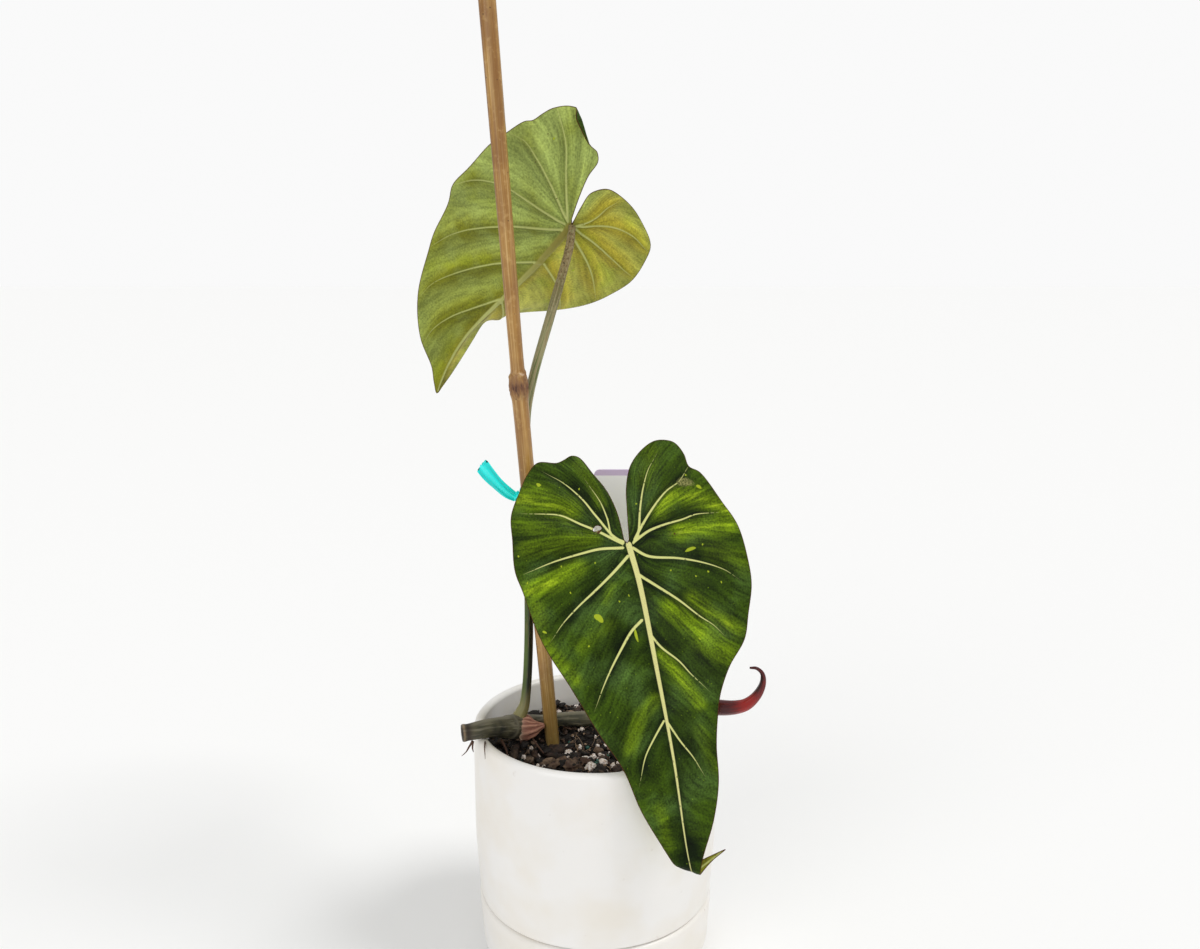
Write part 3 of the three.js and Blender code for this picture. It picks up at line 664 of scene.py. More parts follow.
PETIOLE_UPPER = [
    (-41, -3, 125, 4.4), (-39.6, -3, 130.4, 3.6), (-37.3, -2.4, 135.5, 2.8), (-36, -0.6, 144, 2.4),
    (-35.1, 2.5, 159.5, 2.3), (-34.6, 6, 182, 2.3), (-34.7, 8, 220, 2.3), (-35.1, 8.4, 247, 2.3),
    (-35.2, 9.6, 273, 2.3), (-34.5, 10.8, 289, 2.3), (-30.9, 12.4, 306.5, 2.25),
    (-23, 16, 333.7, 2.3), (-17.2, 18, 353.4, 2.2), (-13.6, 18.7, 366, 2.1),
    (-12.1, 20.2, 373.5, 2), (-11.5, 22, 380, 1.7),
]
PETIOLE_FRONT = [
    (15, 13.6, 126, 3.6), (15, 14.6, 133, 2.9), (15.2, 15, 148, 2.4), (15.4, 13, 172, 2.2),
    (15.5, 5.5, 198, 2.2), (15.6, -6, 216, 2.1), (15.8, -16, 224.6, 2.1),
]
STALK_MEETS = (2.4, 1)
STALK_OFF = (3.2, BLADE_THICK / 2 + 1.4 * GAP)
STALK_SIDES = 40


class StalkSettings(PropertyGroup):
    green: tint("Green", "Main green of the leaf stalks", "#4C5F1E")
    # Also the colour of the painted shadow down the right side of the lower stalks
    dark: tint("Dark green", "Darker stretches of the stalks", "#111B07")
    grey: tint("Grey streaks", "Pale waxy streaks along the stalks", "#A39B73")
    brown: tint("Brown", "Corky brown where a stalk meets its blade", "#7B6640")
    base: tint("Base", "Tan-green of the flared foot", "#8B8455")


def stalk_skin(settings):
    """A living aroid stalk, grown: a waxy green skin with fine pale lengthwise streaks that
    turns corky brown at the blade and tan at the flared foot. Its lower part has a painted
    shadow down its right side."""
    material, add = new_material("stalk_skin")
    grain, foot, top, high = stem_values(add)
    # Painted shadow: the right side of the lower stalk, laid on as dark green
    low = add("Attribute", attribute_name="shadow_side", output="Fac")
    # Streaks under a millimetre wide and 16 mm long
    streak = drawn_out(add, grain, (1, 1, 0.05), 0.8, 4)
    patch = add("TexNoise", [grain, 1 / 26, 2])
    cork = add("TexNoise", [grain, 1 / 1.1, 4])
    # deep holds the darker patches and the painted shadow together
    deep = add("MapRange", [patch, 0.4, 0.66, 0, 0.45])
    deep = add("Math", [deep, low], operation="ADD", use_clamp=True)
    colour = layered(
        add, settings.green, (deep, settings.dark),
        ([streak, 0.38, 0.6, 0.15, 1], settings.grey, high),
        ([streak, 0.55, 0.66, 0, 0.7], settings.brown), (foot, settings.base),
        ([cork, 0.36, 0.56, 0.2, 0.95], settings.brown, top),
        ([cork, 0.56, 0.66, 0, 0.7], settings.dark, top))
    gloss = add("MapRange", [top, 0, 1, 0.4, 0.8])
    height = add("Mix", [top, streak, cork])
    return surfaced(material, add, colour, gloss, (height, 0.35, 0.35), IOR=1.45)


def stalk_end(place, radius):
    """The stalk's last rows, which come square to the blade's underside just past the sinus."""
    s, w = (np.array([value], float) for value in STALK_MEETS)
    normal = blade_normal(place, s, w)[0]
    return [(*(place(s, w)[0] - normal * off), radius) for off in STALK_OFF]


def add_stalk(name, rows, material, node, cork_from, grey_from):
    """A leaf stalk: round, finely ridged, corky towards the blade and wrinkled at its foot."""
    rings = stem(rows, 1.5, STALK_SIDES)
    turn, run, straight = rings.turn, rings.run, rings.straight()
    ridge = 0.08 * np.sin(5 * turn + run / 60) + 0.05 * np.sin(11 * turn)
    corky = smoothstep(run, run[-1] - cork_from, run[-1] - cork_from * 0.25)
    rough = corky * 0.28 * bumps(straight, 1.7, seed=6)
    wrinkles = (1 - smoothstep(run, 3, 13)) * 0.16 * np.sin(run * 3.1 + np.sin(turn * 2))
    points = rings.skin(ridge + rough + wrinkles)
    foot, grey = 1 - smoothstep(run, 5, 24), smoothstep(run, grey_from, grey_from + 60)
    # Painted shadow down the right side of each stalk's lower part, fading out higher up
    to_right = (points - rings.middle[:, None])[..., 0] / rings.radius
    shadow = smoothstep(to_right, -0.25, 0.3) * (1 - smoothstep(run, 40, 120))
    part = tube(points, grain=straight, marks=packed(foot, corky, grey), shadow_side=shadow)
    add_piece(name, [part], [material], [node])


class PHILODENDRON_OT_stalks(Operator):
    """Add the two leaf stalks, from the rhizome to the blades"""
    bl_idname = "philodendron.stalks"
    bl_label = "Leaf Stalks"

    def execute(self, context):
        material = stalk_skin(context.scene.philodendron.stalk)
        front = [*PETIOLE_FRONT, *stalk_end(front_place, 2.0)]
        add_stalk("stalk_upper", PETIOLE_UPPER, material, "petiole_upper", 62, 75)
        add_stalk("stalk_front", front, material, "petiole_front", 12, 20)
        return {"FINISHED"}


# Leaf blades: a place on a blade is [along the midrib, across it], from the junction

FRONT_OUTLINE = [
    (-1.5, 1.2), (-16.3, 3), (-26.7, 4.6), (-37.1, 8.6), (-43.9, 15.4), (-47.1, 22.5), (-46.3, 28.2),
    (-43.8, 32.2), (-37.4, 35.3), (-31, 36.4), (-27, 41), (-10.3, 48.6), (1.5, 53), (17.3, 54.2),
    (30.6, 53.7), (43.6, 49.6), (55, 45.3), (65.8, 36.1), (77.2, 29.6), (88.1, 26.1), (100.4, 23.2),
    (116.5, 21), (132.9, 15.6), (149.3, 7.4), (158, 4.3), (168, 3), (177, 3.2),
    (169, 0.6), (159, -2.3), (148.9, -6.6), (139.4, -10.5), (122.7, -16.8), (103, -21.5),
    (86, -29.2), (69.1, -35.9), (60.2, -39.4), (43.1, -46.7), (30.7, -50.2), (15.2, -52.8),
    (4.8, -54.8), (-10, -53.6), (-22.1, -52.4), (-34.1, -46.1), (-41, -41.6), (-46.2, -35.6),
    (-44.7, -26.3), (-45.7, -22.7), (-47.2, -18.9), (-45.8, -15.2), (-36.5, -9.9), (-26.9, -4.8),
    (-15.2, -1.8), (-1.5, -1),
]
FRONT_JUNCTION = np.array([15.4, -25, 229.2])
FRONT_LEAN = radians(22)
FRONT_TURN = radians(10.5)
FRONT_MIDRIB = 2
FRONT_VEE = (0.16, 5)
FRONT_ARCH = (0.54, 0.0006, 30)
FRONT_DROOP = (0.0012, 30)
FRONT_WAVE = (0.0005, 9, 0, 2)

# Each fold: [along, across, slant, radius, turn] of the line that a part is rolled under about
TIP_FOLD = (150.3, 0, radians(60), 3, radians(158))

UPPER_OUTLINE = [
    (-2, 1.6), (-13, 5.3), (-25, 8.4), (-33, 9), (-36, 12), (-38, 17), (-42, 22.5), (-45.5, 28.5),
    (-43.5, 36), (-38, 41.7), (-33.5, 43.8), (-28, 45.7), (-25, 48.5), (-14, 52.4), (-1, 56),
    (21, 57.8), (39.5, 59), (52, 55.7), (75, 51.5), (88, 46), (110, 36), (128, 22.6), (140, 9),
    (149, 4), (155, 0.3), (150, -3), (142, -8), (130, -14), (118, -18.5), (104, -23), (90, -28),
    (77, -34), (67, -40), (57, -46), (45, -52), (27, -57), (7, -55), (-5, -52), (-14, -45),
    (-24, -31), (-27, -14.5), (-25.5, -3), (-19.3, 2.4), (-10.8, 2), (-2.5, 0.5),
]
UPPER_RIB = [(17, 14, 414), (-20, 6, 369), (-35, 65, 349), (-80, 91, 334), (-96, 113, 284)]
UPPER_RIB_SPAN = (-45, 156)
# How far the right half is folded back, in degrees, by place along the midrib
UPPER_FOLD = [
    (-45, 58), (-20, 50), (0, 45), (40, 45), (58, 46), (75, 53), (90, 66), (108, 86), (122, 80),
    (155, 58),
]
FOLD_SOFTNESS = 4
UPPER_WAVE = (0.0004, 10, 1, 3)
LOBE_FOLD = (-39.3, 26.2, radians(-61.9), 1.3, radians(150))
LOBE_FOLD_ENDS = (7, 14)


def roll(s, w, fold):
    """Roll what lies past a slanting line: the new along, across and depth below the blade."""
    along, across, slant, radius, turn = fold
    ds, dw = s - along, w - across
    past = ds * np.sin(slant) - dw * np.cos(slant)
    on_line = ds * np.cos(slant) + dw * np.sin(slant)
    bent = np.clip(past / radius, 0, turn)
    rest = np.maximum(past - bent * radius, 0)
    reach = np.where(past > 0, radius * np.sin(bent) + rest * np.cos(bent), past)
    back = radius * (1 - np.cos(bent)) + rest * np.sin(bent)
    new_s = along + on_line * np.cos(slant) + reach * np.sin(slant)
    new_w = across + on_line * np.sin(slant) - reach * np.cos(slant)
    return new_s, new_w, back


def waved(s, w, height, wavelength, shift, other_shift):
    """How far the margin waves up and down; the two halves run out of step."""
    return height * w * w * np.sin(s / wavelength + np.where(w > 0, shift, other_shift))


def front_place(s, w):
    """The front blade: halves rise from the midrib, lobes and tip fall back, margin waved."""
    down = np.array([0, -sin(FRONT_LEAN), -cos(FRONT_LEAN)])
    along = np.array([sin(FRONT_TURN), 0, 0]) + down * cos(FRONT_TURN)
    across = np.array([cos(FRONT_TURN), 0, 0]) - down * sin(FRONT_TURN)
    face = np.cross(along, across)
    s, w, back = roll(s, w, TIP_FOLD)
    slope, softness = FRONT_VEE
    rise, drop, crest = FRONT_ARCH
    vee = slope * (np.hypot(w - FRONT_MIDRIB, softness) - softness)
    arch = rise - drop * (s - crest) ** 2
    edge = FRONT_DROOP[0] * np.maximum(np.abs(w) - FRONT_DROOP[1], 0) ** 2
    out = vee + arch - edge + waved(s, w, *FRONT_WAVE) - back
    return FRONT_JUNCTION + s[:, None] * along + w[:, None] * across + out[:, None] * face


def bezier(points, t):
    level = [np.broadcast_to(p, (len(t), 3)) for p in np.array(points, float)]
    while len(level) > 1:
        level = [a + (b - a) * t[:, None] for a, b in zip(level, level[1:])]
    return level[0]


def through(knots, place):
    """A value that runs smoothly through [place, value] knots."""
    at, value = np.array(knots, float).T
    rise, run = (np.append(x[1:], x[-1]) - np.append(x[0], x[:-1]) for x in (value, at))
    slope = rise / run
    i = np.clip(np.searchsorted(at, place, side="right") - 1, 0, len(at) - 2)
    span = at[i + 1] - at[i]
    t = np.clip((place - at[i]) / span, 0, 1)
    return cubic(value[i], value[i + 1], slope[i] * span, slope[i + 1] * span, t)


def upper_place(s, w):
    """The upper blade: one half faces the front, the other is folded back at the midrib."""
    fold_s, fold_w, slant = LOBE_FOLD[:3]
    on_line = (s - fold_s) * cos(slant) + (w - fold_w) * sin(slant)
    share = (1 - smoothstep(on_line, *LOBE_FOLD_ENDS)) * ((w > 5) & (s < -20))
    rolled_s, rolled_w, back = roll(s, w, LOBE_FOLD)
    s, w, back = s + share * (rolled_s - s), w + share * (rolled_w - w), share * back
    start, end = UPPER_RIB_SPAN
    t = (s - start) / (end - start)
    rib = bezier(UPPER_RIB, t)
    along = unit(bezier(UPPER_RIB, t + 0.002) - bezier(UPPER_RIB, t - 0.002))
    across = unit(np.column_stack([along[:, 2], 0 * s, -along[:, 0]]))
    face = np.cross(along, across)
    fold = np.radians(through(UPPER_FOLD, s))
    folded = (np.hypot(w, FOLD_SOFTNESS) - w) / 2
    out = np.sin(fold) * folded + waved(s, w, *UPPER_WAVE) - back
    return rib + across * (w + (1 - np.cos(fold)) * folded)[:, None] + face * out[:, None]


def blade_normal(place, s, w):
    """The upper side's direction at places on a blade."""
    step = BLADE_THICK / 2
    along = place(s + step, w) - place(s - step, w)
    return unit(np.cross(along, place(s, w + step) - place(s, w - step)))


# Veins: [half width at the base, places along it], numbered away from the sinus
FRONT_LEFT_VEINS = [
    (0.28, [(-1, -1.5), (-4.6, -6.3), (-13.7, -7.2), (-22, -9), (-31, -13)]),
    (0.41, [(-0.3, -1.9), (-5.6, -6.8), (-15.5, -12.3), (-25, -17.5), (-34.5, -25.3), (-39.4, -31.6)]),
    (0.45, [(0, -2), (-7.2, -11.9), (-12.9, -20.6), (-18.5, -28.9), (-20.4, -36.3), (-21.8, -44.7)]),
    (0.45, [(2, -2.4), (0.7, -13.3), (1.5, -23.2), (3.2, -36), (5.7, -46.9)]),
    (0.47, [(6.3, -0.7), (12.7, -8.8), (19.7, -18.8), (25.7, -28), (32.6, -37), (37.8, -42)]),
    (0.45, [(37.4, 0.1), (41.6, -5.6), (49.3, -12.3), (57.5, -18.7), (65, -23.8), (71.6, -27.9)]),
    (0.3, [(85, 1.4), (92.2, -4.8), (99.4, -10.2), (107.8, -13.9)]),
]
FRONT_RIGHT_VEINS = [
    (0.38, [(0.5, 3), (-3.3, 6), (-15.1, 9.3), (-25, 12.7), (-33.3, 16.8), (-38.7, 21.3)]),
    (0.43, [(-1, 4), (-4.6, 6.7), (-13.9, 14.9), (-21.2, 23.2), (-24.7, 30.3), (-30.2, 35.5)]),
    (0.43, [(0, 3.5), (-3.7, 11), (-5.3, 19), (-6.1, 27.9), (-7.2, 34.9), (-6.1, 43.4)]),
    (0.45, [(2.9, 2.4), (8.1, 8.7), (12, 22.8), (16.7, 34.3), (21.8, 42.8), (26, 47.1)]),
    (0.45, [(15.7, 2.3), (23, 10.1), (31.5, 19), (40.7, 27.1), (46, 32.6), (50.8, 35.9)]),
    (0.35, [(43.7, 2.2), (51.4, 6.5), (59.3, 13.5), (66.2, 17.8), (72.6, 22.6)]),
    (0.3, [(86.2, 3), (95.2, 7), (103.4, 11.5), (110.3, 14.3)]),
]
FRONT_RIB_LINE = [(1, 0.6), (19, 2.2), (61.5, 2.6), (103.7, 2.5), (149, 0.9), (174, 2.7)]
FRONT_RIB_HALF = [(0, 1.45), (10, 1.3), (50, 1.05), (85, 0.72), (134, 0.34), (152, 0.2), (175, 0.1)]
UPPER_LEFT_VEINS = [
    (0.34, [(-0.3, -2), (-9.3, -7.9), (-17.6, -10.5), (-22.6, -14.8)]),
    (0.4, [(-0.5, -2), (-5.8, -11.9), (-8.4, -21.7), (-7.2, -36), (-1, -49.9)]),
    (0.42, [(1, -3), (5.4, -18), (11.7, -33), (19.8, -50.7)]),
    (0.42, [(5, -3), (18.3, -21), (29, -32), (43, -43)]),
    (0.4, [(30, -2), (41.8, -16.5), (52.6, -26), (66, -36)]),
    (0.34, [(70, 0), (88, -12), (104, -20)]),
]
UPPER_RIGHT_VEINS = [
    (0.4, [(0, 2.5), (-17, 16), (-30, 26.7), (-38.2, 38.6)]),
    (0.42, [(-0.3, 3), (-9, 19.2), (-15, 33), (-17.7, 43), (-15, 51)]),
    (0.44, [(2, 3), (5, 16), (8.3, 29.5), (12, 39.6), (23, 51.3), (37, 58)]),
    (0.44, [(5, 2), (15.6, 12.3), (27.4, 23), (48.7, 36), (67, 43.4), (81, 47)]),
    (0.42, [(30, 0), (51.4, 14), (76.8, 25.7), (98, 33.7), (107, 34.7)]),
    (0.36, [(68, 0), (88, 7), (105.7, 14.2), (119.7, 18.3), (129.4, 19)]),
]
UPPER_RIB_LINE = [(1, 0.2), (40, 0), (100, 0), (153, 0.2)]
UPPER_RIB_HALF = [(0, 1.7), (10, 1.5), (40, 1.15), (80, 0.8), (120, 0.45), (155, 0.15)]
VEIN_RUN_OUT = 0.7
LANE_WIDTH = 14
# The right half's lanes are numbered from here on, past the left half's
RIGHT_LANES = 22


@dataclass
class Blade:
    """What a blade is made from. Every line on it is a list of [along, across] places, the veins
    are those of its left and its right half, and quilt is how high it swells between them."""
    outline: list
    place: callable
    veins: list
    rib_line: list
    rib_half: list
    quilt: float
    spots: dict
    holes: list
    sectors: list


def nearest_on(line, places, values=None):
    """Distance from places to a line of points, and the line's values where it is nearest."""
    best = np.full(len(places), np.inf)
    found = np.zeros(len(places))
    values = np.zeros(len(line)) if values is None else values
    for a, b, va, vb in zip(line, line[1:], values, values[1:]):
        span = b - a
        t = np.clip(((places - a) @ span) / max(span @ span, 1e-9), 0, 1)
        gap = np.linalg.norm(places - a - t[:, None] * span, axis=1)
        nearer = gap < best
        best = np.where(nearer, gap, best)
        found = np.where(nearer, va + (vb - va) * t, found)
    return best, found


def gap_to(loop, places):
    """Distance from places to a closed loop."""
    return nearest_on(np.vstack([loop, loop[:1]]), places)[0]


def inside(loop, places):
    """Which places lie inside a closed loop."""
    x, y = places.T
    odd = np.zeros(len(places), bool)
    for (ax, ay), (bx, by) in zip(loop, np.roll(loop, -1, axis=0)):
        if ay != by:
            crosses = (ay > y) != (by > y)
            odd ^= crosses & (x < (bx - ax) * (y - ay) / (by - ay) + ax)
    return odd


def vein_line(base, line):
    """A side vein as fine points with its half width at each; it thins out past its last one."""
    last, before = np.array(line[-1], float), np.array(line[-2], float)
    points = even(spline([*line, last + VEIN_RUN_OUT * (last - before)], 6), 1.2)
    share = np.linspace(0, 1, len(points))
    return points, base * 1.4 * (1.03 - share) ** 0.7 - 0.24 * share ** 3


def side_steps(points):
    """Unit steps across a line of points on the flat blade."""
    along = unit(np.gradient(points, axis=0))
    return np.column_stack([-along[:, 1], along[:, 0]])


def thin_plate(knots, values, places):
    """A smooth field through values at knots: what the lanes between veins follow."""
    def bend(a, b):
        gap = np.linalg.norm(a[:, None] - b[None], axis=2) + 1e-6
        return gap ** 2 * np.log(gap)
    count = len(knots)
    flat = np.column_stack([np.ones(count), knots])
    system = np.zeros((count + 3, count + 3))
    system[:count, :count] = bend(knots, knots) + np.eye(count) * 2
    system[:count, count:] = flat
    system[count:, :count] = flat.T
    weights = np.linalg.solve(system, np.vstack([values, np.zeros((3, values.shape[1]))]))
    return (bend(places, knots) @ weights[:count]
            + np.column_stack([np.ones(len(places)), places]) @ weights[count:])


def lane_places(blade, places):
    """Places on the blade counted across and along its side veins, in millimetres."""
    lanes = np.zeros((len(places), 2))
    rib = spline(blade.rib_line)
    middle = np.interp(places[:, 0], rib[:, 0], rib[:, 1], left=0)
    for right, veins in enumerate(blade.veins):
        knots, values = [], []
        for number, (_, line) in enumerate(veins):
            points = even(spline(line, 6), 5)
            run = np.arange(len(points)) * 5.0
            knots.extend(points)
            values.extend(zip(np.full(len(points), LANE_WIDTH * number), run))
        own = (places[:, 1] >= middle) == right
        lanes[own] = thin_plate(np.array(knots), np.array(values), places[own])
        lanes[own, 0] += RIGHT_LANES * LANE_WIDTH * right
    return lanes


class PointSet:
    """Places for a mesh, none nearer to another than it may be, sorted by whole millimetres."""

    def __init__(self):
        self.points = []
        self.cells = {}

    def add(self, places, least):
        for x, y in places:
            i, j = int(x // 1), int(y // 1)
            near = (k for di in (-1, 0, 1) for dj in (-1, 0, 1)
                    for k in self.cells.get((i + di, j + dj), ()))
            if all((x - self.points[k][0]) ** 2 + (y - self.points[k][1]) ** 2 >= least ** 2
                   for k in near):
                self.cells.setdefault((i, j), []).append(len(self.points))
                self.points.append((float(x), float(y)))


def ellipse(place, size, slant, seed, steps=18):
    """A slightly uneven oval loop on the flat blade."""
    turn = around(steps)[0]
    uneven = 1 + 0.16 * np.sin(2 * turn + seed) + 0.1 * np.sin(3 * turn + 2.3 * seed)
    x, y = size[0] / 2 * np.cos(turn) * uneven, size[1] / 2 * np.sin(turn) * uneven
    return np.column_stack(turned(x, y, slant)) + place


def depth_in(loop, places):
    """Distance to a loop: above zero inside it, below zero outside."""
    return np.where(inside(loop, places), 1, -1) * gap_to(loop, places)


GRID_STEP = 0.95
OUTLINE_STEP = 0.9
INSET = 0.45
MARGIN_HALF_THICK = 0.13
MARGIN_TAPER = 1.6
QUILT_REACH = 5
QUILT_FADE = 7
VEIN_HALF = 0.4


def blade_mesh(blade):
    """Triangles over the flat blade, with points along its edge, veins, spots and holes. Its
    loops are the edge and the holes; its lines are the midrib and the side veins."""
    edge = even(spline(blade.outline, 8), OUTLINE_STEP)
    edge = np.vstack([edge, [(0, 0.1)]])
    loops = [edge, *(ellipse(*hole) for hole in blade.holes)]
    room = PointSet()
    fixed = []
    for loop in loops:
        start = len(room.points)
        fixed += [(start + k, start + (k + 1) % len(loop)) for k in range(len(loop))]
        room.add(loop, 0)
    outward = side_steps(np.vstack([edge[-1:], edge, edge[:1]]))[1:-1]
    inset = edge - outward * INSET
    room.add(inset[inside(edge, inset) & (gap_to(edge, inset) > INSET * 0.8)], 0.25)
    rib = even(spline(blade.rib_line), 1.2)
    lines = [(rib, np.interp(rib[:, 0], *np.array(blade.rib_half).T))]
    lines += [vein_line(*vein) for vein in chain(*blade.veins)]
    for points, half in lines:
        across = side_steps(points)
        for share, extra in ((0, 0), (1, 0.1), (1, 0.75), (-1, 0.1), (-1, 0.75)):
            row = points + across * share * (half + extra)[:, None]
            row = row[inside(edge, row)]
            room.add(row[gap_to(edge, row) > 0.3], 0.22)
    for place, size, slant, seed in chain(*blade.spots.values()):
        for grow in (-0.3, 0.3):
            grown = [max(across + grow, 0.3) for across in size]
            room.add(ellipse(place, grown, slant, seed), 0.18)
    low, high = edge.min(axis=0), edge.max(axis=0)
    grid = np.array([
        (x + (i % 2) * GRID_STEP / 2, y)
        for i, y in enumerate(np.arange(low[1], high[1], GRID_STEP * 0.866))
        for x in np.arange(low[0], high[0], GRID_STEP)])
    grid = grid[inside(edge, grid)]
    room.add(grid[gap_to(edge, grid) > INSET + 0.35], 0.55)
    flat = [Vector(p) for p in room.points]
    places, _, faces, *_ = delaunay_2d_cdt(flat, fixed, [], 1, 1e-5, False)
    places, faces = np.array([p[:] for p in places]), np.array([f[:] for f in faces])
    centre = places[faces].mean(axis=1)
    solid = inside(edge, centre) & ~np.any([inside(hole, centre) for hole in loops[1:]], axis=0)
    a, b, c = (places[faces[:, k]] for k in range(3))
    turn = (b - a)[:, 0] * (c - a)[:, 1] - (b - a)[:, 1] * (c - a)[:, 0]
    faces = np.where((turn > 0)[:, None], faces, faces[:, ::-1])[solid & (np.abs(turn) > 1e-7)]
    return places, faces, loops, lines


def open_edges(faces):
    """Edges with a face on one side alone, in the direction that the face runs."""
    pairs = np.vstack([faces[:, [0, 1]], faces[:, [1, 2]], faces[:, [2, 0]]])
    known = {tuple(p) for p in pairs.tolist()}
    return [p for p in pairs.tolist() if (p[1], p[0]) not in known]


def add_blade(name, blade, materials, node, rib_proud, vein_proud):
    """A blade: two faces with veins and quilting, joined round a thin margin. A rib or vein
    stands proud of the upper and of the under side, each by its own millimetres."""
    places, faces, loops, lines = blade_mesh(blade)
    s, w = places.T
    count = len(s)
    flat = np.column_stack([places, 0 * s])
    rib_gap, rib_half = nearest_on(lines[0][0], places, lines[0][1])
    to_line, vein_gap, vein_half = rib_gap, np.full(count, np.inf), np.zeros(count)
    for points, half in lines[1:]:
        gap, own_half = nearest_on(points, places, half)
        # Nothing sinks or darkens round a vein where it fades out
        to_line = np.minimum(to_line, gap + 6 * np.clip((0.25 - own_half) / VEIN_HALF, 0, 1))
        nearer = gap - own_half < vein_gap - vein_half
        vein_gap, vein_half = np.where(nearer, (gap, own_half), (vein_gap, vein_half))
    edge_gap = np.min([gap_to(loop, places) for loop in loops], axis=0)
    lanes = np.column_stack([lane_places(blade, places), 0 * s])
    quilt = blade.quilt * (0.5 - bell(to_line, QUILT_REACH)) * smoothstep(edge_gap, 0, QUILT_FADE)
    ripple = 0.16 * bumps(lanes / [1, 3, 1], 2.6, seed=7) + 0.2 * bumps(flat, 9, seed=8)
    lift = quilt + ripple * smoothstep(edge_gap, 0, 3)
    normal = blade_normal(blade.place, s, w)
    centre = blade.place(s, w) + normal * lift[:, None]
    taper = smoothstep(edge_gap, 0, MARGIN_TAPER)
    thick = MARGIN_HALF_THICK + (BLADE_THICK / 2 - MARGIN_HALF_THICK) * taper
    rib_ridge = np.clip(1 - (rib_gap / (rib_half + 0.75)) ** 2, 0, 1) ** 0.8
    rib_ridge = rib_ridge * rib_half / blade.rib_half[0][1]
    vein_ridge = np.clip(1 - (vein_gap / (vein_half + 0.5)) ** 2, 0, 1) * vein_half / VEIN_HALF
    above, below = (rib * rib_ridge + vein * vein_ridge for rib, vein in zip(rib_proud, vein_proud))
    edges = open_edges(faces)
    on_rim = sorted({i for pair in edges for i in pair})
    rim_at = {i: 2 * count + k for k, i in enumerate(on_rim)}
    points = np.vstack([centre + normal * (thick + above)[:, None],
                        centre - normal * (thick + below)[:, None], centre[on_rim]])
    polygons = [*faces.tolist(), *(faces[:, ::-1] + count).tolist()]
    looks = [0] * len(faces) + [1] * len(faces)
    for a, b in edges:
        polygons += [[b, a, rim_at[a], rim_at[b]], [rim_at[b], rim_at[a], a + count, b + count]]
        looks += [0, 1]
    spots = [np.max([np.full(count, -1.0), *(depth_in(ellipse(*spot), places) for spot in kind)],
                    axis=0) for kind in blade.spots.values()]
    lime = np.zeros(count)
    for strength, half, line in blade.sectors:
        gap, _ = nearest_on(np.array(line, float), places)
        lime = np.maximum(lime, strength * bell(gap, half))
    values = {
        "blade": flat, "lane": lanes, "spots": packed(*spots),
        "gaps": packed(rib_gap - rib_half, vein_gap - vein_half, edge_gap),
        "lime": packed(lime, to_line, 0 * s),
    }
    values = {key: np.vstack([value, value, value[on_rim]]) for key, value in values.items()}
    add_piece(name, [(points, polygons, values)], materials, [node], looks)


# Lime sectors of the front blade, one of them painted sheen: [strength, half width, line], each along
# its lane
FRONT_SECTORS = [
    (1, 5.5, [(-30, -47), (-28, -38), (-20, -25)]),
    (0.6, 4.5, [(-5, -48), (-5, -32), (-5, -15)]),
    # Painted sheen: this weak sector lightens the left lobe where its surface shines
    (0.35, 5, [(-16, -50), (-13, -36)]),
    (0.9, 4.5, [(15, -50), (12, -38), (8, -26)]),
    (0.55, 4, [(22, -48), (30, -48)]),
    (0.35, 2.5, [(19, -11), (26, -15)]),
    (1, 4.5, [(-13, 18), (-19, 26), (-15, 38), (-5, 51)]),
    (1, 4.5, [(-1, 26), (1, 49)]),
    (0.4, 6, [(12, 40), (20, 52)]),
    (0.4, 5, [(-42, 20), (-28, 15)]),
    (0.85, 3.5, [(32, 25), (42, 34), (50, 43)]),
    (0.75, 5, [(34, 14), (47, 26), (59, 36)]),
    (0.85, 3, [(55, 6), (65, 12), (80, 19)]),
    (0.5, 4, [(53, 24), (63, 36)]),
    (0.7, 3.5, [(94, -17), (80, -8), (75, -1)]),
    (0.4, 3, [(123, -8), (141, -8)]),
    (0.65, 3.5, [(40, -47), (48, -43), (59, -36)]),
    (0.3, 3.5, [(45, -31), (41, -24), (37, -15)]),
    (0.45, 3, [(-42, -17), (-34, -12), (-21, -9)]),
    (0.3, 3.5, [(92, 17), (110, 21)]),
]

# Hard-edged marks: [place, size, slant, seed]
FRONT_SPOTS = {
    "lime": [((33, -20), (4.6, 3.2), 0.6, 1), ((9, 29), (1.4, 6), 0.1, 2), ((44, -4), (6, 1.3), 0.1, 3),
        ((-20, 39), (3.2, 1.3), 0.9, 4), ((-35, -37), (2.6, 1.4), 0.8, 5),
        ((35, -46), (2.2, 1), 0.8, 6), ((-2, -52), (0.9, 0.9), 0, 7), ((11, -50), (1, 0.8), 0, 8),
        ((19, -31), (1.1, 0.7), 0.4, 9), ((45, -27), (1, 0.8), 0, 10), ((-13, -7), (0.9, 0.7), 0, 11),
        ((27, -9), (1, 0.7), 0, 12), ((25, -4), (1.1, 0.6), 0, 13), ((6, -33), (0.9, 0.7), 0, 14),
        ((7, -17), (0.8, 0.8), 0, 15), ((8, 35), (1, 0.7), 0, 16), ((17, 18), (0.9, 0.7), 0, 17),
        ((21, 35), (1.1, 0.8), 0, 18), ((22, 29), (0.8, 0.8), 0, 19), ((27, 40), (1, 0.7), 0, 20),
        ((51, 25), (1.2, 0.7), 0.7, 21), ((-30, -18), (1, 0.7), 0, 22), ((-18, 8), (0.9, 0.7), 0, 23),
        ((-27, 34), (1.1, 0.7), 0, 24)],
    "scar": [((-0.2, 21.2), (1.5, 2.7), 0.2, 3), ((0.3, 25.3), (1.7, 3.6), 0.5, 5),
        ((-23.6, 33), (9, 5), 1, 6), ((-9, -15), (5.2, 1.1), 0.4, 2)],
    "brown": [((-7.4, -12.4), (1.3, 2.2), 0.3, 4), ((0.2, 23.2), (1, 0.9), 0.3, 4)],
}
FRONT_HOLES = [((-9.3, -12.9), (2.9, 3.6), 0.3, 5, 22)]
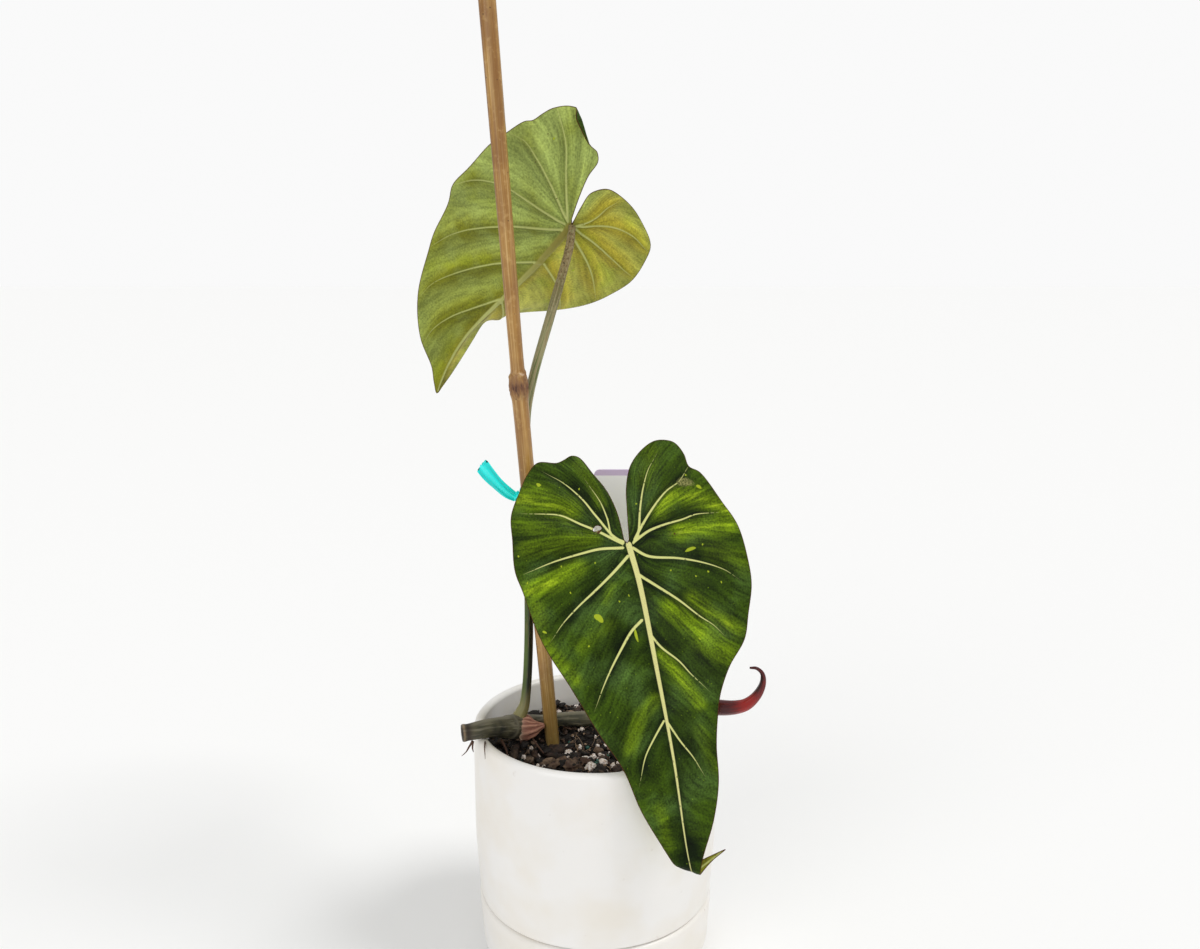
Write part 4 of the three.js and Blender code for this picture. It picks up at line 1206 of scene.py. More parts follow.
UPPER_SPOTS = {
    "lime": [((-27.9, 32.5), (1.3, 1), 0, 1), ((127, -12.7), (1.4, 1.2), 0, 2),
        ((31.2, -21.4), (1.8, 1), 0.5, 3), ((20.8, -40.9), (1.6, 1), 0.9, 4),
        ((27.5, -36.4), (1.4, 1), 0.2, 5)],
    "scar": [],
    "brown": [((-13.2, 32.6), (0.7, 0.6), 0, 6), ((-6.3, 13.8), (0.7, 0.6), 0, 7),
        ((-27.7, 36.1), (0.7, 0.6), 0, 8)],
}
UPPER_SECTORS = [
    (0.7, 7, [(8, -14), (22, -30), (30, -44)]),
    (0.9, 5, [(-14, -30), (-6, -44)]),
    (0.7, 5, [(40, -10), (62, -26)]),
    (0.5, 6, [(26, 30), (38, 48)]),
    (0.6, 5, [(60, 20), (92, 42)]),
    (0.4, 6, [(110, 6), (138, 3)]),
]
FRONT_BLADE = Blade(FRONT_OUTLINE, front_place, [FRONT_LEFT_VEINS, FRONT_RIGHT_VEINS],
                    FRONT_RIB_LINE, FRONT_RIB_HALF, 1.2, FRONT_SPOTS, FRONT_HOLES, FRONT_SECTORS)
UPPER_BLADE = Blade(UPPER_OUTLINE, upper_place, [UPPER_LEFT_VEINS, UPPER_RIGHT_VEINS],
                    UPPER_RIB_LINE, UPPER_RIB_HALF, 2.1, UPPER_SPOTS, [], UPPER_SECTORS)


class LeafSettings(PropertyGroup):
    # Also the painted shade right beside the sunken veins
    deep: tint("Deep green", "Darkest green of the upper side", "#0D1A03")
    green: tint("Green", "Middle green of the upper side", "#3C530A")
    # Painted sheen: laid on in patches, standing for the cuticle catching the bright surround
    bloom_and_painted_sheen: tint("Waxy bloom", "Dull blue-green where the cuticle is thick", "#4F6B3F")
    lime: tint("Lime", "Lime variegation", "#738E0E")
    yellow: tint("Yellow", "Brightest streaks of the variegation", "#9FAE28")
    vein: tint("Vein", "Cream of the midrib", "#D5D28C")
    side_vein: tint("Side vein", "Paler lime-cream of the side veins", "#D0D285")
    margin: tint("Margin", "Red-brown line round the blade", "#4A2A14")
    scar: tint("Scar", "Dried tan of scars", "#8E8B55")
    dead: tint("Dead tissue", "Brown of pinholes and torn edges", "#4B2F1A")
    under: tint("Underside", "Olive green of the underside", "#7D801F")
    # Painted shade: laid on in the strips beside the raised veins
    under_painted_shade: tint("Underside deep", "Dark olive of the underside's creases", "#4E5413")
    # Partly painted: also the painted sheen of the open half and the painted light on the lane centres
    under_bloom: tint("Underside bloom", "Grey-green bloom of the underside", "#9DAD5C")
    # Partly painted: also stands for a glow of light shining through the folded half
    under_gold: tint("Underside gold", "Yellow-olive of the folded half", "#B5A836")
    under_vein: tint("Underside vein", "Raised veins of the underside", "#C2C87C")
    under_rib: tint("Underside midrib", "Brown-green of the underside's midrib", "#7E7028")
    cuticle: amount("Cuticle roughness", "Roughness of the waxy cuticle", 0.42, most=1)


def quilted(add, colour, height, light, lane, swell):
    """A leaf's colour with light and shade in its grain and across each lane between two
    veins; returns that grain as well."""
    grain = add("MapRange", [height, 0.75, 1.25, *light])
    across = add("SeparateXYZ", [lane], output="X")
    across = add("Math", [across, 2 * pi / LANE_WIDTH], operation="MULTIPLY")
    across = add("Math", [across], operation="SINE")
    across = add("MapRange", [across, -1, 1, *swell])
    grain = add("Math", [grain, across], operation="MULTIPLY")
    return add("Mix", [1, colour, grain], data_type="RGBA", blend_type="MULTIPLY"), grain


def leaf_upper_side(settings):
    """The upper side of a grown leaf: a waxy cuticle over dark green tissue, so broad soft
    highlights, with painted sheen in patches, fine striations along the lanes, painted light
    and shade across the lanes, lime streaks, cream veins with painted shade beside them, and
    a brown margin."""
    material, add = new_material("waxy_leaf_upper_side")
    blade = add("Attribute", attribute_name="blade", output="Vector")
    lane = add("Attribute", attribute_name="lane", output="Vector")
    rib, vein, edge = channels(add, "gaps")
    sector, from_vein, _ = channels(add, "lime")
    lime_spot, scar_spot, dead_spot = channels(add, "spots")
    # Striations a millimetre wide that run fourteen times as long, along the lanes
    streak = drawn_out(add, lane, (1, 0.07, 1), 1, 3)
    broad = drawn_out(add, lane, (1, 0.16, 1), 5, 4)
    cloud = add("TexNoise", [blade, 1 / 22, 4])
    cells = add("TexNoise", [blade, 1 / 0.9, 4])
    # Painted light and shade: lane centres are painted lighter than the sunken strips beside the veins
    tone = add("Math", [broad, cloud], operation="ADD")
    tone = add("MapRange", [tone, 0.74, 1.26, 0, 0.8])
    painted_lane_shading = add("MapRange", [from_vein, 0.8, 7, -0.2, 0.25])
    tone = add("Math", [tone, painted_lane_shading], operation="ADD", use_clamp=True)
    # Lime lies where the sectors are, drawn out into streaks of two sizes
    lime = add("Math", [streak, broad], operation="ADD")
    lime = add("MapRange", [lime, 0.72, 1.28, 0.48, 1.2])
    lime = add("Math", [sector, lime], operation="MULTIPLY")
    lime = add("MapRange", [lime, 0.05, 1.05, 0, 0.9])
    # Pale flecks a third of a millimetre across, drawn at twice that to show
    flecks = add("TexVoronoi", [blade, 1 / 3.4], output="Distance")
    torn = add("TexNoise", [blade, 1 / 0.8, 5])
    torn = add("MapRange", [torn, 0.4, 0.56, 0.1, 0.9])
    colour = layered(
        add, settings.deep, (tone, settings.green),
        # Painted sheen: dull blue-green patches where the waxy cuticle would catch the bright surround
        ([cloud, 0.48, 0.66, 0, 0.55], settings.bloom_and_painted_sheen, broad), (lime, settings.lime),
        # Painted shade: the deep green laid again right beside the sunken veins
        ([lime, 0.6, 1, 0, 0.5], settings.yellow), ([from_vein, 0.4, 2.6, 0.6, 0], settings.deep),
        ([flecks, 0.05, 0.11, 0.45, 0], settings.lime))
    height = add("Math", [streak, cells], operation="ADD")
    colour, grain = quilted(add, colour, height, (0.45, 1.55), lane, (0.82, 1.18))
    colour = layered(
        add, colour, ([lime_spot, -0.12, 0.12], settings.yellow),
        ([vein, -0.12, 0.18, 1, 0], settings.side_vein), ([rib, -0.2, 0.15, 1, 0], settings.vein),
        ([scar_spot, -0.1, 1.1], settings.scar, torn), ([dead_spot, -0.1, 0.12], settings.dead),
        ([edge, 0.15, 0.42, 1, 0], settings.margin))
    gloss = add("MapRange", [streak, 0.3, 0.7, settings.cuticle - 0.06, settings.cuticle + 0.1])
    return surfaced(material, add, colour, gloss, (grain, 0.3, 0.25), IOR=1.45,
                    Specular_IOR_Level=0.1)


def leaf_underside(settings):
    """The underside of a grown leaf: a matt grey-green, partly painted sheen, over olive
    tissue, with raised paler veins, yellow patches where the variegation shows through, a
    brown midrib, and painted light and shade across the lanes between the veins."""
    material, add = new_material("matt_leaf_underside")
    blade = add("Attribute", attribute_name="blade", output="Vector")
    lane = add("Attribute", attribute_name="lane", output="Vector")
    rib, vein, edge = channels(add, "gaps")
    sector, from_vein, _ = channels(add, "lime")
    along, across, _ = channels(add, "blade")
    lime_spot, _, dead_spot = channels(add, "spots")
    streak = drawn_out(add, lane, (1, 0.1, 1), 1.5, 4)
    net = add("TexNoise", [blade, 1 / 1.1, 4])
    cloud = add("TexNoise", [blade, 1 / 17, 4])
    mottle = add("MapRange", [cloud, 0.35, 0.68, -0.35, 0.35])
    # The open half is greyer green, partly painted sheen, which thins to olive towards the tip
    olive = add("MapRange", [along, -5, 62, 0.1, 1])
    olive = add("Math", [olive, mottle], operation="ADD", use_clamp=True)
    # The folded half is yellower, partly its own colour and partly a painted glow of light
    # shining through it, and brown-olive towards its margin and in patches
    folded = add("MapRange", [across, 4, -6])
    brown = add("MapRange", [edge, 0, 12, 0.6, 0])
    brown = add("Math", [brown, mottle], operation="ADD", use_clamp=True)
    brown = add("Math", [brown, folded], operation="MULTIPLY")
    lime = add("Math", [sector, mottle], operation="ADD")
    dry = add("MapRange", [along, 12, 90, 0.85, 0.15])
    ridge = add("Mix", [dry, settings.under_vein, settings.under_rib], data_type="RGBA")
    colour = layered(
        add, settings.under_bloom, (olive, settings.under), (folded, settings.under_gold),
        # Painted light: the lane centres, away from the veins, are painted paler
        (brown, settings.under), ([from_vein, 3, 9, 0, 0.45], settings.under_bloom),
        ([lime, 0.15, 1.1, 0, 0.55], settings.yellow),
        # Painted shade: the strips beside the veins are painted darker
        ([from_vein, 0.6, 5, 0.42, 0], settings.under_painted_shade))
    height = add("Math", [net, streak], operation="ADD")
    colour, _ = quilted(add, colour, height, (0.64, 1.3), lane, (1.16, 0.8))
    colour = layered(
        add, colour, ([vein, -0.3, 0.3, 0.75, 0], settings.under_vein),
        ([rib, -0.1, 0.5, 0.9, 0], ridge), ([lime_spot, -0.15, 0.15], settings.yellow),
        ([dead_spot, -0.1, 0.1], settings.dead), ([edge, 0.15, 0.55, 1, 0], settings.margin))
    return surfaced(material, add, colour, 0.55, (height, 0.3, 0.3), IOR=1.42,
                    Specular_IOR_Level=0.14)


class PHILODENDRON_OT_leaves(Operator):
    """Add the two blades: the dark variegated front one and the pale-backed upper one"""
    bl_idname = "philodendron.leaves"
    bl_label = "Leaves"

    def execute(self, context):
        settings = context.scene.philodendron.leaf
        looks = [leaf_upper_side(settings), leaf_underside(settings)]
        add_blade("blade_front", FRONT_BLADE, looks, "leaf_front", (0.35, 1.3), (-0.1, 0.4))
        add_blade("blade_upper", UPPER_BLADE, looks, "leaf_upper", (0.2, 1.7), (-0.1, 0.7))
        return {"FINISHED"}


# Rhizome, its roots, the torn sheath and the red cataphyll

RHIZOME = [
    (-66, -28.6, 132.9, 4), (-60.5, -26.8, 133, 4.3), (-54, -22, 132.4, 4.6),
    (-46.5, -12, 128.3, 5.4), (-40.5, -3, 124.6, 6.5), (-36.5, 2.5, 123.2, 5.2),
    (-30, 7, 122.3, 3.7), (-18, 11.5, 121.6, 3.8), (-5, 13.2, 121.4, 4.2), (8, 14, 122.3, 4.6),
    (15, 14, 123, 5.3), (22, 13.5, 123.8, 4.6), (36, 11, 127, 4.3), (47, 7.2, 130.8, 4.2),
    (55, 3.8, 132.6, 3.6),
]
ROOTS = [
    [(-39, -6.5, 122, 1.1), (-37.8, -9.8, 117.5, 0.9), (-37.2, -12, 110, 0.7),
     (-33, -15, 104, 0.6)],
    [(-42, 0, 121, 1.4), (-44.5, 2.5, 114, 1.2), (-45, 4, 104, 0.9), (-43, 7, 92, 0.7)],
    [(-9, 14.5, 119.5, 1.3), (-10, 17, 113, 1.1), (-12, 18, 100, 0.9), (-9, 20, 88, 0.7)],
    [(14, 16, 121, 1.5), (12, 19.5, 114.5, 1.2), (12.5, 20, 103, 1), (9, 17, 90, 0.8)],
    [(34, 12.5, 125, 1.3), (33, 15.5, 117.5, 1.1), (35, 17, 107, 0.9), (33, 21, 94, 0.7)],
]
HAIR_ROOTS = [
    [(-39.7, -6.5, 119, 0.5), (-37, -8.6, 115, 0.55), (-35.7, -13.7, 112.8, 0.55),
     (-33.5, -18, 112.6, 0.5), (-31.1, -21.3, 112.2, 0.4)],
    [(-60.7, -29, 128.9, 0.7), (-62.8, -30, 125.6, 0.45), (-64, -30.2, 123.6, 0.3),
     (-66.3, -30.4, 121.4, 0.12)],
    [(-60.5, -29.5, 128.8, 0.5), (-60.7, -31, 126, 0.4), (-60.2, -31.6, 124.2, 0.2)],
    [(-54.6, -29.4, 128.6, 0.4), (-54.3, -34.4, 127.8, 0.3), (-53.9, -36.8, 126, 0.22),
     (-53.7, -38, 123.6, 0.1)],
    [(-48, -16, 123.4, 0.6), (-45, -20, 119, 0.5), (-44, -23, 114, 0.4)],
    [(-33.2, -5.6, 119.6, 0.5), (-30, -8, 116, 0.45), (-26.6, -10.2, 112.6, 0.3)],
]
NODE_RUNS = (30, 46, 86, 112, 133)
RHIZOME_SIDES = 48
ROOT_SIDES, HAIR_ROOT_SIDES = 14, 8
CUT_FACE = [1, 0.3, 0.1, 0.6, 0.9, 0.85, 0.6, 0.3, 0.1]
SHEATH = [
    (-39.6, -4.6, 124.2, 5.9), (-35.6, -4.4, 124.2, 6.1), (-32.4, -4, 124.2, 4.6),
    (-29.6, -3.2, 124.4, 2.6), (-26.8, -2.2, 124.6, 1.1),
]
SHEATH_SIDES = 90
CATAPHYLL = [
    (50, 6, 131.6, 4.6), (57, 2.9, 133, 4.4), (64.7, 0, 133.6, 4.1), (72, -0.6, 133.9, 3.7),
    (78.6, -0.4, 135.4, 3.2), (84, -0.2, 140, 2.5), (87.2, 0, 146.6, 1.8), (87, 0, 152.2, 1.2),
    (84, 0, 155.3, 0.9), (80.2, 0, 155.6, 0.5),
]
CATAPHYLL_SIDES = 48


class StemSettings(PropertyGroup):
    skin: tint("Skin", "Grey-green skin of the creeping stem", "#58543F")
    dark: tint("Dark skin", "Darker grey of its lower side", "#2A2B24")
    # Also the painted highlight along the top of the stem
    pale: tint("Pale skin", "Dry pale streaks and leaf scars", "#968F7A")
    cut: tint("Cut face", "Dark dried face of the cut end", "#24160F")
    callus: tint("Callus", "Tan callus round the cut", "#A98C6E")
    root: tint("Root", "Red-brown of the roots", "#523626")
    paper: tint("Sheath", "Dry red-brown sheath at the node", "#C4907A")
    # Also the painted shade in the pleats' folds
    paper_dark_and_fold_shade: tint("Sheath folds", "Darker folds of the sheath", "#6A3728")
    paper_edge: tint("Sheath edge", "Torn pale edge of the sheath", "#D8BDA4")
    maroon: tint("Maroon", "Dark red of the cataphyll", "#4A1214")
    # Painted highlight on the bend
    red: tint("Red", "Bright red of the cataphyll's bend", "#9E1F1A")
    # Also the painted shade inside the hook
    black_red: tint("Black red", "Nearly black red inside the hook", "#220A0A")


def rhizome_skin(settings):
    """A creeping aroid stem, grown: a dull grey-green skin wrinkled round its nodes, dry
    streaks, a painted highlight along its top, a tan callus and a dark sunken face where it
    was cut."""
    material, add = new_material("rhizome_skin")
    grain, worn, rim, face = stem_values(add)
    root = add("Attribute", attribute_name="root", output="Fac")
    streak = drawn_out(add, grain, (1, 1, 0.12), 1.4, 4)
    cloud = add("TexNoise", [grain, 1 / 9, 4])
    dry = add("MapRange", [streak, 0.5, 0.66, 0, 0.55])
    # worn brings the pale leaf scars and the painted highlight along the top
    dry = add("Math", [dry, worn], operation="MAXIMUM")
    colour = layered(add, settings.skin, ([cloud, 0.4, 0.62], settings.dark), (dry, settings.pale),
                     (rim, settings.callus), (face, settings.cut), (root, settings.root))
    return surfaced(material, add, colour, 0.62, (streak, 0.8, 0.5), IOR=1.45)


def add_rhizome(material):
    """The creeping stem, ringed at its nodes and dried at its cut end, with its roots."""
    rings = stem(RHIZOME, 0.8, RHIZOME_SIDES)
    turn, run, middle, straight = rings.turn, rings.run, rings.middle, rings.straight()
    node = sum(bell(run - at - 0.8 * np.sin(turn + at), 1.1) for at in NODE_RUNS)
    wrinkle = 0.16 * bumps(straight * [1, 1, 0.3], 2.4, seed=9) + 0.25 * bumps(straight, 8, seed=10)
    rim = bell(run - 0.9, 1.0) * (0.7 + 0.5 * bumps(straight, 2.5, seed=11))
    points = rings.skin(0.42 * node + wrinkle + 0.6 * rim)
    sunk = points[0] + (middle[0] - points[0]) * 0.3 + (middle[1] - middle[0]) * 0.6
    points = np.concatenate([sunk[None], points])
    node, rim, straight = (np.concatenate([rows[:1], rows]) for rows in (node, rim, straight))
    caps = [middle[0] + (middle[2] - middle[0]) * 1.2, points[-1].mean(axis=0)]
    # The cut face is dark from its middle to the rim, and its dirt runs a little way back
    face = np.zeros((len(points), 1))
    face[:len(CUT_FACE), 0] = CUT_FACE
    lift = unit(points - points.mean(axis=1, keepdims=True))[..., 2]
    # Pale leaf scars at each node, and a painted highlight where the skin faces up
    worn = np.maximum(0.5 * node, 0.55 * smoothstep(lift, 0.75, 1))
    marks = packed(worn, np.clip(rim, 0, 1) * (1 - face) * 0.9, face)
    parts = [tube(points, caps, grain=straight, marks=marks, root=0 * face)]
    for row in [*ROOTS, *HAIR_ROOTS]:
        thin = stem(row, 0.9, ROOT_SIDES if row in ROOTS else HAIR_ROOT_SIDES)
        grain = thin.straight()
        rough = 0.16 * thin.radius * bumps(grain * 2, 2.2, seed=len(parts))
        parts.append(tube(thin.skin(rough), grain=grain, marks=[[(0, 0, 0)]], root=[[1]]))
    add_piece("rhizome_stem", parts, [material], ["rhizome"])


def dry_sheath(settings):
    """A dead leaf sheath, dried on the plant: papery, matt and pleated, with painted shade in its
    folds, its torn edge pale.
    """
    material, add = new_material("dry_papery_sheath")
    grain, pale, fold, _ = stem_values(add)
    fibre = drawn_out(add, grain, (1, 1, 0.15), 0.7, 4)
    # Painted shade: the pleats' folds are painted darker, over the darker fibres
    deep = add("Math", [fibre, fold], operation="ADD")
    colour = layered(add, settings.paper, ([deep, 0.25, 1.05, 0.85, 0], settings.paper_dark_and_fold_shade),
                     (pale, settings.paper_edge))
    return surfaced(material, add, colour, 0.72, (fibre, 0.4, 0.3))


def add_sheath(settings):
    """The sheath: a pleated paper cone, ragged where it tore off round the node."""
    rings = stem(SHEATH, 0.35, SHEATH_SIDES)
    turn, run, straight = rings.turn, rings.run, rings.straight()
    pleat = np.sin(turn * 12 + 1.6 * np.sin(turn * 3) + run * 0.25)
    crumple = bumps(straight * [1, 1, 0.4], 1.9, seed=12)
    points = rings.skin((0.26 * pleat + 0.7 * crumple) * rings.radius / 5)
    tangent = unit(np.gradient(rings.middle, axis=0))
    edge = straight * [1, 1, 0]
    ragged = 2.2 * bumps(edge, 1.3, seed=13) + 1.0 * bumps(edge, 0.6, seed=14)
    points = points - tangent[:, None] * (ragged * np.exp(-run / 1.6))[..., None]
    inner = rings.middle[0] + (points[0] - rings.middle[0]) * 0.93
    points = np.concatenate([[inner + tangent[0] * 2.2], [inner], points])
    straight, pleat = (np.concatenate([rows[:1], rows[:1], rows]) for rows in (straight, pleat))
    torn = np.concatenate([[[0], [1]], np.exp(-run / 1.1)])
    # The pleat is kept so that its folds can be given painted shade
    part = tube(points, grain=straight, marks=packed(torn, 0.32 * pleat, 0))
    add_piece("sheath_paper", [part], [dry_sheath(settings)], ["node_sheath"])


def cataphyll_skin(settings):
    """A living bud sheath, grown: smooth dark red skin with a soft gloss, a painted highlight
    of bright red on its bend, and nearly black towards its tip, with painted shade inside
    its hook."""
    material, add = new_material("cataphyll_skin")
    grain, red, black, _ = stem_values(add)
    streak = drawn_out(add, grain, (1, 1, 0.07), 0.9, 3)
    tone = add("MapRange", [streak, 0.35, 0.65, -0.2, 0.25])
    red = add("Math", [red, tone], operation="ADD", use_clamp=True)
    colour = layered(add, settings.maroon, (red, settings.red), (black, settings.black_red))
    return surfaced(material, add, colour, 0.26, (streak, 0.2, 0.3), IOR=1.45)


def add_cataphyll(settings):
    rings = stem(CATAPHYLL, 0.7, CATAPHYLL_SIDES)
    turn, run, straight = rings.turn, rings.run, rings.straight()
    # The sheath's overlapping edges make a keel and a groove along it
    keel = 0.12 * bell(turn - 2.2, 0.3) - 0.16 * bell(turn - 4.9, 0.28)
    ribs = 0.02 * np.sin(7 * turn + run / 9)
    points = rings.skin(rings.radius * (keel + ribs) + 0.08 * bumps(straight, 5, seed=15))
    # Painted highlight: bright red across the bend
    red = bell(points[..., 0] - 80, 7) * (points[..., 2] < 149)
    # Darker towards the tip, and painted shade on the inward side of the hook
    inward = unit(points - rings.middle[:, None]) @ [-0.8, 0, 0.25] > 0.35
    black = smoothstep(run, 34, 42) * np.where(inward, 0.9, 0.25)
    part = tube(points, grain=straight, marks=packed(red, black, 0))
    add_piece("cataphyll_red", [part], [cataphyll_skin(settings)], ["cataphyll"])


class PHILODENDRON_OT_rhizome(Operator):
    """Add the creeping stem with its roots, the torn sheath and the red cataphyll"""
    bl_idname = "philodendron.rhizome"
    bl_label = "Rhizome"

    def execute(self, context):
        settings = context.scene.philodendron.stem
        add_rhizome(rhizome_skin(settings))
        add_sheath(settings)
        add_cataphyll(settings)
        return {"FINISHED"}


# Tie and label

TIE_Z = 247
TIE_HEIGHT = 5
TIE_THICK = 0.8
TIE_KNOT = np.array([-38.9, -0.6, 246.6])
TIE_KNOT_SIZE = np.array([1.7, 2.3, 2.6])
TIED_CANE_R = 3.9
TIED_STALK = (-35.1, 8.4, 2.35)
TIE_TAIL = [
    (-39.6, -1, 246.2, 4.6), (-43.5, -2.4, 248.8, 5.8), (-48.5, -3.6, 253.6, 6.2),
    (-53, -4, 258.8, 7.2), (-57, -3.8, 264.2, 7.4),
]
TIE_TAIL_LENGTH = 26
TIE_STEP = 0.5
TIE_TURNS = 480
TIE_SECTION = [(-1, -1), (-0.5, -1), (0, -1), (0.5, -1), (1, -1), (1, 0), (1, 1), (0.5, 1), (0, 1),
               (-0.5, 1), (-1, 1), (-1, 0)]


class TieSettings(PropertyGroup):
    tape: tint("Tape", "Turquoise of the tie tape", "#00EAE5")
    # Painted light on the ridges of the creases
    light: tint("Tape light", "Paler stretched creases of the tape", "#4FF7F1")
    # Painted shade in the folds of the tape
    dark: tint("Tape dark", "Deeper folds of the tape", "#089A94")
    roughness: amount("Roughness", "Roughness of the stretched film", 0.34, most=1)


def stretched_film(settings):
    """Polyethylene tie tape, blown film stretched as it was pulled tight: glossy lengthwise
    creases that catch the light, with painted light on their ridges and painted shade in
    their folds."""
    material, add = new_material("stretched_polyethylene_tape")
    grain, crease, _, _ = stem_values(add)
    lines = drawn_out(add, grain, (1, 1, 0.08), 0.8, 3)
    # Painted light and shade: paler on the ridges of the creases, darker in their folds
    tone = add("Math", [lines, crease], operation="ADD")
    colour = layered(add, settings.tape, ([tone, 0.6, 1], settings.light),
                     ([tone, 0.1, 0.45, 0.4, 0], settings.dark))
    return surfaced(material, add, colour, settings.roughness, (lines, 0.35, 0.4), IOR=1.51)


def tie_loop(circles):
    """The loop round both stems: a thin creased band, closed on itself, with a round section."""
    off = GAP + TIE_THICK / 2
    outline = []
    for turn in around(TIE_TURNS)[0]:
        x, y, r = max(circles, key=lambda c: c[0] * cos(turn) + c[1] * sin(turn) + c[2])
        outline.append([x + (r + off) * cos(turn), y + (r + off) * sin(turn)])
    outline = even(np.array([*outline, outline[0]]), TIE_STEP)[:-1]
    ahead = unit(np.roll(outline, -1, axis=0) - np.roll(outline, 1, axis=0))
    out = np.column_stack([ahead[:, 1], -ahead[:, 0]])
    run = np.arange(len(outline)) * TIE_STEP
    v, u = np.array(TIE_SECTION, float).T[..., None]
    crease = np.sin(v * 6 + run * 0.6)
    reach = u * TIE_THICK / 2 * 0.55 + 0.11 * crease * (np.abs(v) < 1)
    height = TIE_Z + v * (TIE_HEIGHT / 2) * (1 + 0.06 * np.sin(run * 0.9 + u))
    points = np.concatenate([outline + out * reach[..., None], height[..., None]], axis=-1)
    # The crease is kept so that its ridges and folds can be given painted light and shade
    grain, marks = packed(v * TIE_HEIGHT / 2, 0, run), packed(0.3 * crease, 0, 0)
    values = {"grain": grain.reshape(-1, 3), "marks": marks.reshape(-1, 3)}
    return points.reshape(-1, 3), ring_faces(*crease.shape, closed=True), values


def tie_tail():
    """The loose tail: a tape folded along its middle, its end frayed into wisps."""
    line = even(spline(TIE_TAIL), TIE_STEP)
    middle, width = line[:, :3], line[:, 3:]
    along = unit(np.gradient(middle, axis=0))
    flat = unit(np.cross([0, -1, 0], along))
    face = np.cross(along, flat)
    share = np.linspace(0, 1, len(middle))[:, None]
    thin = TIE_THICK * 0.16 * (0.35 + 0.65 * np.minimum((1 - share) * 8, 1))
    section = np.linspace(-1, 1, 25)
    fray = 0.5 * np.abs(bumps(packed(section * 5, 0, 0), 0.9, 16)) + 0.35 * np.maximum(section, 0)
    top, under = [], []
    for u, lag in zip(section, fray):
        fold = 1.15 * (0.5 - abs(u)) + 0.3 * np.sin(9 * u + 6 * share)
        back = along * lag * 6 * smoothstep(share, 0.75, 1)
        place = middle + flat * u * width / 2 + face * fold - back
        top.append(place - face * thin)
        under.append(place + face * thin)
    points = np.array(top + under[::-1]).transpose(1, 0, 2)
    both = np.concatenate([section, section[::-1]])[None, :]
    grain = packed(both * TIE_HEIGHT / 2, 0, share * TIE_TAIL_LENGTH)
    # Painted light along the middle ridge of the folded tail
    return tube(points, grain=grain, marks=packed(0.35 * np.cos(both * 5), 0, 0))


def tie_knot():
    """The knot: a small twisted lump of tape."""
    polar, turn = np.linspace(0.02, pi - 0.02, 26)[:, None], around(40)
    ball = packed(np.sin(polar) * np.cos(turn), np.sin(polar) * np.sin(turn), np.cos(polar))[::-1]
    twist = (0.16 * np.sin(3 * turn + 5 * polar) + 0.08 * np.sin(7 * turn - 4 * polar))[::-1]
    points = TIE_KNOT + ball * TIE_KNOT_SIZE * (1 + twist)[..., None]
    # The twist is kept so that the knot's bulges and dips get painted light and shade
    return tube(points, grain=ball * 2, marks=packed(twist * 2, 0, 0))


def add_tie(settings):
    x, y, z = np.array(CANE_AXIS).T
    loop = tie_loop([(np.interp(TIE_Z, z, x), y[0], TIED_CANE_R), TIED_STALK])
    add_piece("tie_tape", [loop, tie_tail(), tie_knot()],
              [stretched_film(settings)], ["tie"])


LABEL_WIDTH = 25
LABEL_TOP = 256
LABEL_LENGTH = 190
LABEL_POINT = 22
LABEL_CORNER = 3
LABEL_STOPS = (140, 200)
LABEL_THICK = 0.8
LABEL_PLACE = (11.8, 24)


class LabelSettings(PropertyGroup):
    face: tint("Face", "White of the label", "#F4F2F7")
    band: tint("Band", "Lilac band along the label's top", "#CDB9DA")
    dirt: tint("Soil stain", "Where potting mix has stained the stake", "#8A7565")
    band_height: length("Band height", "Height of the lilac band", 3.2)


def matt_polystyrene(settings):
    """A plant label stamped from matt white polystyrene sheet: an even soft sheen, a printed
    lilac band at its top and a soil stain where it stands in the mix."""
    material, add = new_material("matt_polystyrene_sheet")
    place = in_millimetres(add)
    height = add("SeparateXYZ", [place], output="Z")
    cloud = add("TexNoise", [place, 1 / 6, 4])
    low = LABEL_TOP - settings.band_height / MM
    level = add("Math", [cloud, -22, height], operation="MULTIPLY_ADD")
    colour = layered(add, settings.face, ([height, low - 0.1, low + 0.1], settings.band),
                     ([level, SOIL_LEVEL - 6, SOIL_LEVEL + 2, 0.85, 0], settings.dirt))
    scuff = add("TexNoise", [place, 1 / 0.9, 2])
    return surfaced(material, add, colour, 0.5, (scuff, 0.06, 0.2), IOR=1.55)


def add_label(settings):
    """The label: a thin stake with a point below and round corners above."""
    half, bottom, shoulder = LABEL_WIDTH / 2, LABEL_TOP - LABEL_LENGTH, LABEL_TOP - LABEL_CORNER
    side = [(half, bottom + LABEL_POINT), *((half, z) for z in LABEL_STOPS),
            *arc(half - LABEL_CORNER, shoulder, LABEL_CORNER, 0, 90, 10)]
    outline = np.array([(0, bottom), *side, *((-x, z) for x, z in side[::-1])])
    centre = np.array([0, (LABEL_TOP + bottom) / 2])
    x, y = LABEL_PLACE
    rows = []
    for inward, depth in ((0.25, -0.5), (0, -0.2), (0, 0.2), (0.25, 0.5)):
        loop = outline + unit(centre - outline) * inward
        rows.append(packed(x + loop[:, 0], y - depth * LABEL_THICK, loop[:, 1]))
    sides = len(outline)
    faces = [*ring_faces(4, sides), [*range(sides)][::-1], [*range(3 * sides, 4 * sides)]]
    label = add_piece("label_sheet", [(np.vstack(rows), faces, {})],
                      [matt_polystyrene(settings)], ["label"])
    for face in label.data.polygons:
        face.use_smooth = len(face.vertices) == 4


class PHILODENDRON_OT_tie(Operator):
    """Add the turquoise tape that ties the upper stalk to the cane"""
    bl_idname = "philodendron.tie"
    bl_label = "Tie"

    def execute(self, context):
        add_tie(context.scene.philodendron.tie)
        return {"FINISHED"}


